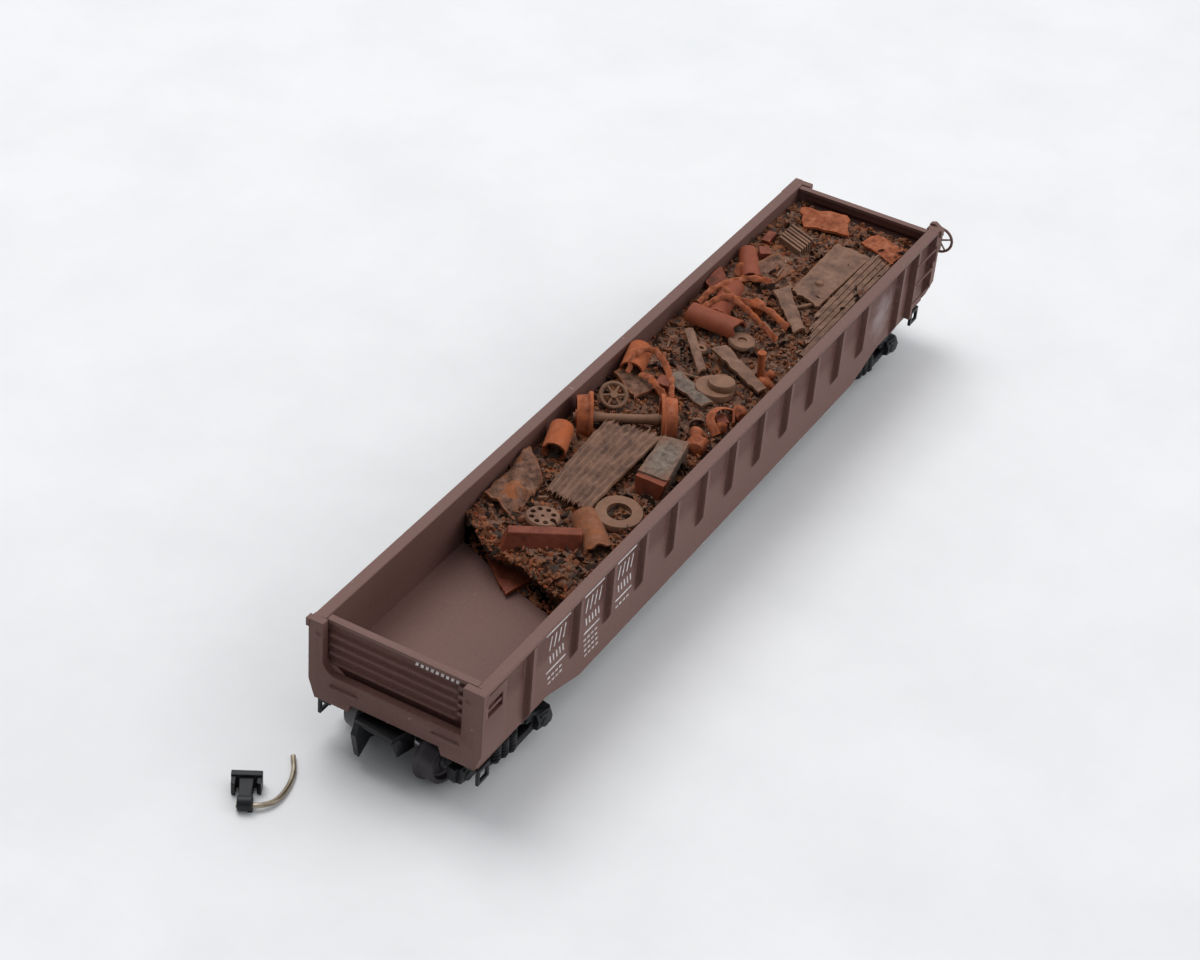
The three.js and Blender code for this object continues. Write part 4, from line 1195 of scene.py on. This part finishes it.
for k, (mouth, wide) in enumerate((((18.3, 0.9, 13.4), 1.3), ((-24.0, -5.9, 12.4), 1.5), ((-12.5, 5.6, 13.8), 1.2),
                                   ((4.8, 6.4, 14.2), 1.1))):
    bmesh.ops.create_icosphere(item, subdivisions=3, radius=wide * 0.92, matrix=Matrix.Translation(
        Vector(mouth) + Vector((1.4, 0.6, -0.1))))
scrap("dirt_in_mouths", item, grit)

straps = {
    "strap_loop": [(3.4, 6.2, 14.6), (5.2, 6.4, 15.9), (7.0, 5.6, 16.0), (7.0, 3.8, 15.2), (4.6, 1.4, 14.6), (2.6, 0.3, 14.3)],
    "strap_over_ducts": [(24.6, 6.4, 14.2), (23.6, 5.0, 15.3), (21.6, 2.2, 15.6), (20.4, -0.8, 15.2), (19.0, -4.0, 14.4)],
    "strap_crossing": [(18.8, 5.6, 15.0), (21.6, 4.4, 15.6), (23.0, 2.0, 15.2), (23.6, -0.8, 14.6), (22.6, -3.6, 14.1)],
    "strap_low": [(20.4, 6.6, 14.6), (23.6, 6.2, 15.2), (27.6, 4.2, 15.1), (29.6, 2.0, 14.4)],
    "strap_by_wheel": [(2.2, 0.8, 14.2), (2.6, 2.2, 15.0), (3.8, 3.8, 14.8), (4.4, 5.2, 14.4)],
}
for name, path in straps.items():
    item = bmesh.new()
    bent_bar(item, smooth_path(path, 60), 0.36, 12, 0.3)
    roughened(item, 0.16, 0.7, len(name))
    scrap(name, item, fresh_rust)

# knobbly castings and a curled offcut along the right-hand side
item = bmesh.new()
for n, (x, y, z, size) in enumerate(((-2.2, -5.6, 13.3, 1.15), (-0.6, -4.7, 13.3, 0.9), (2.0, -6.2, 13.2, 0.8),
                                     (5.6, -6.6, 13.3, 0.9), (12.2, -6.2, 13.1, 1.0), (14.0, -5.9, 13.2, 0.7),
                                     (24.2, 1.2, 13.9, 1.1), (30.4, 6.4, 13.9, 1.0))):
    lump = bmesh.ops.create_icosphere(item, subdivisions=3, radius=size, matrix=Matrix.Translation((x, y, z)))
    for v in lump["verts"]:
        v.co += 0.45 * noise.noise_vector(v.co * 0.9 + Vector((n, 0, 0)))
scrap("rusted_lumps", item, fresh_rust, 30)
item = bmesh.new()
bent_bar(item, smooth_path([(0.6, -6.4, 13.3), (1.6, -5.0, 14.3), (3.4, -4.9, 14.5), (4.8, -6.0, 13.9), (3.4, -7.0, 13.3)], 30),
         0.5, 10, 0.3)
scrap("curled_offcut", item, fresh_rust)

# upright post and the rods lying near it
item = bmesh.new()
bent_bar(item, [(12.9, -5.3, 12.9), (12.9, -5.2, 15.0), (12.95, -5.1, 16.4)], 0.42, 10)
rod(item, (12.95, -5.1, 16.3), (12.95, -5.1, 16.6), 0.5, 12)
scrap("upright_post", item, fresh_rust)
item = bmesh.new()
dice = random.Random(16)
for k in range(26):
    x, y = dice.uniform(-24, 46), dice.uniform(-7.4, 7.4)
    turn, half = dice.uniform(0, math.pi), dice.uniform(0.5, 1.6)
    z = crust_height(x, y) + 0.25
    step = Vector((math.cos(turn), math.sin(turn), dice.uniform(-0.15, 0.15))) * half
    rod(item, Vector((x, y, z)) - step, Vector((x, y, z)) + step, dice.uniform(0.12, 0.24), 8)
scrap("loose_rods", item, old_plate)

# ---------------------------------------------------------------------------------------------
# Scrap load: loose debris
# Crumbs of rust, dark slag, chips of plate and a few bright turnings lie all over the crust
# and spill along its broken near edge.


def scatter_tree():
    """Copies of a shape strewn over the upward faces of a base: shape, how many per square
    metre, smallest and largest scale, seed and finish are its inputs."""
    group = bpy.data.node_groups.new("strewn copies", "GeometryNodeTree")
    face = group.interface
    face.new_socket("Geometry", in_out="INPUT", socket_type="NodeSocketGeometry")
    face.new_socket("Shape", in_out="INPUT", socket_type="NodeSocketObject")
    for name, kind in (("Per Area", "Float"), ("Smallest", "Float"), ("Largest", "Float"), ("Seed", "Int")):
        face.new_socket(name, in_out="INPUT", socket_type=f"NodeSocket{kind}")
    face.new_socket("Finish", in_out="INPUT", socket_type="NodeSocketMaterial")
    face.new_socket("Geometry", in_out="OUTPUT", socket_type="NodeSocketGeometry")
    given = group.nodes.new("NodeGroupInput").outputs
    normal = add(group, "GeometryNodeInputNormal").outputs["Normal"]
    up_part = add(group, "ShaderNodeSeparateXYZ", {"Vector": normal}).outputs["Z"]
    upward = add(group, "ShaderNodeMath", {0: up_part, 1: 0.2}, operation="GREATER_THAN").outputs[0]
    points = add(group, "GeometryNodeDistributePointsOnFaces", {
        "Mesh": given["Geometry"], "Selection": upward, "Density": given["Per Area"], "Seed": given["Seed"]})
    turned = add(group, "FunctionNodeRandomValue", {
        "Min": (0, 0, 0), "Max": (6.283, 6.283, 6.283), "Seed": given["Seed"]}, data_type="FLOAT_VECTOR")
    sized = add(group, "FunctionNodeRandomValue", {
        2: given["Smallest"], 3: given["Largest"], "Seed": given["Seed"]}, data_type="FLOAT")
    shape = add(group, "GeometryNodeObjectInfo", {"Object": given["Shape"]})
    copies = add(group, "GeometryNodeInstanceOnPoints", {
        "Points": points.outputs["Points"], "Instance": shape.outputs["Geometry"],
        "Rotation": turned.outputs[0], "Scale": sized.outputs[1]})
    real = add(group, "GeometryNodeRealizeInstances", {"Geometry": copies.outputs["Instances"]})
    painted = add(group, "GeometryNodeSetMaterial", {
        "Geometry": real.outputs["Geometry"], "Material": given["Finish"]})
    add(group, "NodeGroupOutput", {"Geometry": painted.outputs["Geometry"]})
    return group


def crumb_shape(stretch, seed):
    """An irregular crumb about 1 mm across, squashed or drawn out."""
    bm = bmesh.new()
    bmesh.ops.create_icosphere(bm, subdivisions=1, radius=0.5, matrix=Matrix.Diagonal((*stretch, 1)))
    roughened(bm, 0.3, 0.5, seed)
    return bm


# bare turnings: bright swarf dulled by handling
turnings, tree, where = blank("dulled steel turnings")
finish_material(tree, {
    "Base Color": steps(tree, fractal(tree, where, 0.5, 2), (0.3, "#6f655c"), (0.7, "#a19688")),
    "Metallic": 0.7, "Roughness": 0.45,
})

edge_strip = bmesh.new()
edge_strip.from_mesh(scatter_base)
far_faces = [f for f in edge_strip.faces if f.calc_center_median().x / MM > near_edge(
    f.calc_center_median().y / MM) + 1.5]
bmesh.ops.delete(edge_strip, geom=far_faces, context="FACES")
strip_mesh = bpy.data.meshes.new("near edge strip")
edge_strip.to_mesh(strip_mesh)
edge_strip.free()

strew = scatter_tree()
square_mm = 1e6
scatters = {
    "slag_crumbs": (scatter_base, (1, 0.8, 0.6), 1.2, 0.2, 0.65, 3, grit),
    "rust_crumbs": (scatter_base, (1.2, 0.8, 0.5), 1.6, 0.25, 1.0, 5, crust),
    "plate_chips": (scatter_base, (1.5, 0.9, 0.16), 0.55, 0.5, 1.5, 7, old_plate),
    "orange_crumbs": (scatter_base, (1.2, 0.8, 0.4), 0.25, 0.2, 0.7, 11, fresh_rust),
    "bright_turnings": (scatter_base, (1.2, 0.25, 0.2), 0.35, 0.25, 0.7, 13, turnings),
    "edge_crumbs": (strip_mesh, (1.2, 0.8, 0.5), 5.0, 0.15, 0.6, 17, fresh_rust),
    "edge_lumps": (strip_mesh, (1.3, 0.9, 0.6), 2.0, 0.3, 0.9, 19, crust),
}
for name, (base, stretch, per_mm, smallest, largest, seed, finish) in scatters.items():
    shape = pattern("crumb", crumb_shape(stretch, seed), Matrix.Translation((0, 0, SILL_HEIGHT)))
    strewn = grown(name, strew, {
        "Shape": shape, "Per Area": per_mm * square_mm, "Smallest": smallest, "Largest": largest,
        "Seed": seed, "Finish": finish}, base.copy())
    bpy.data.objects.remove(shape)
    piece(name, strewn, finish, "scrap_load")
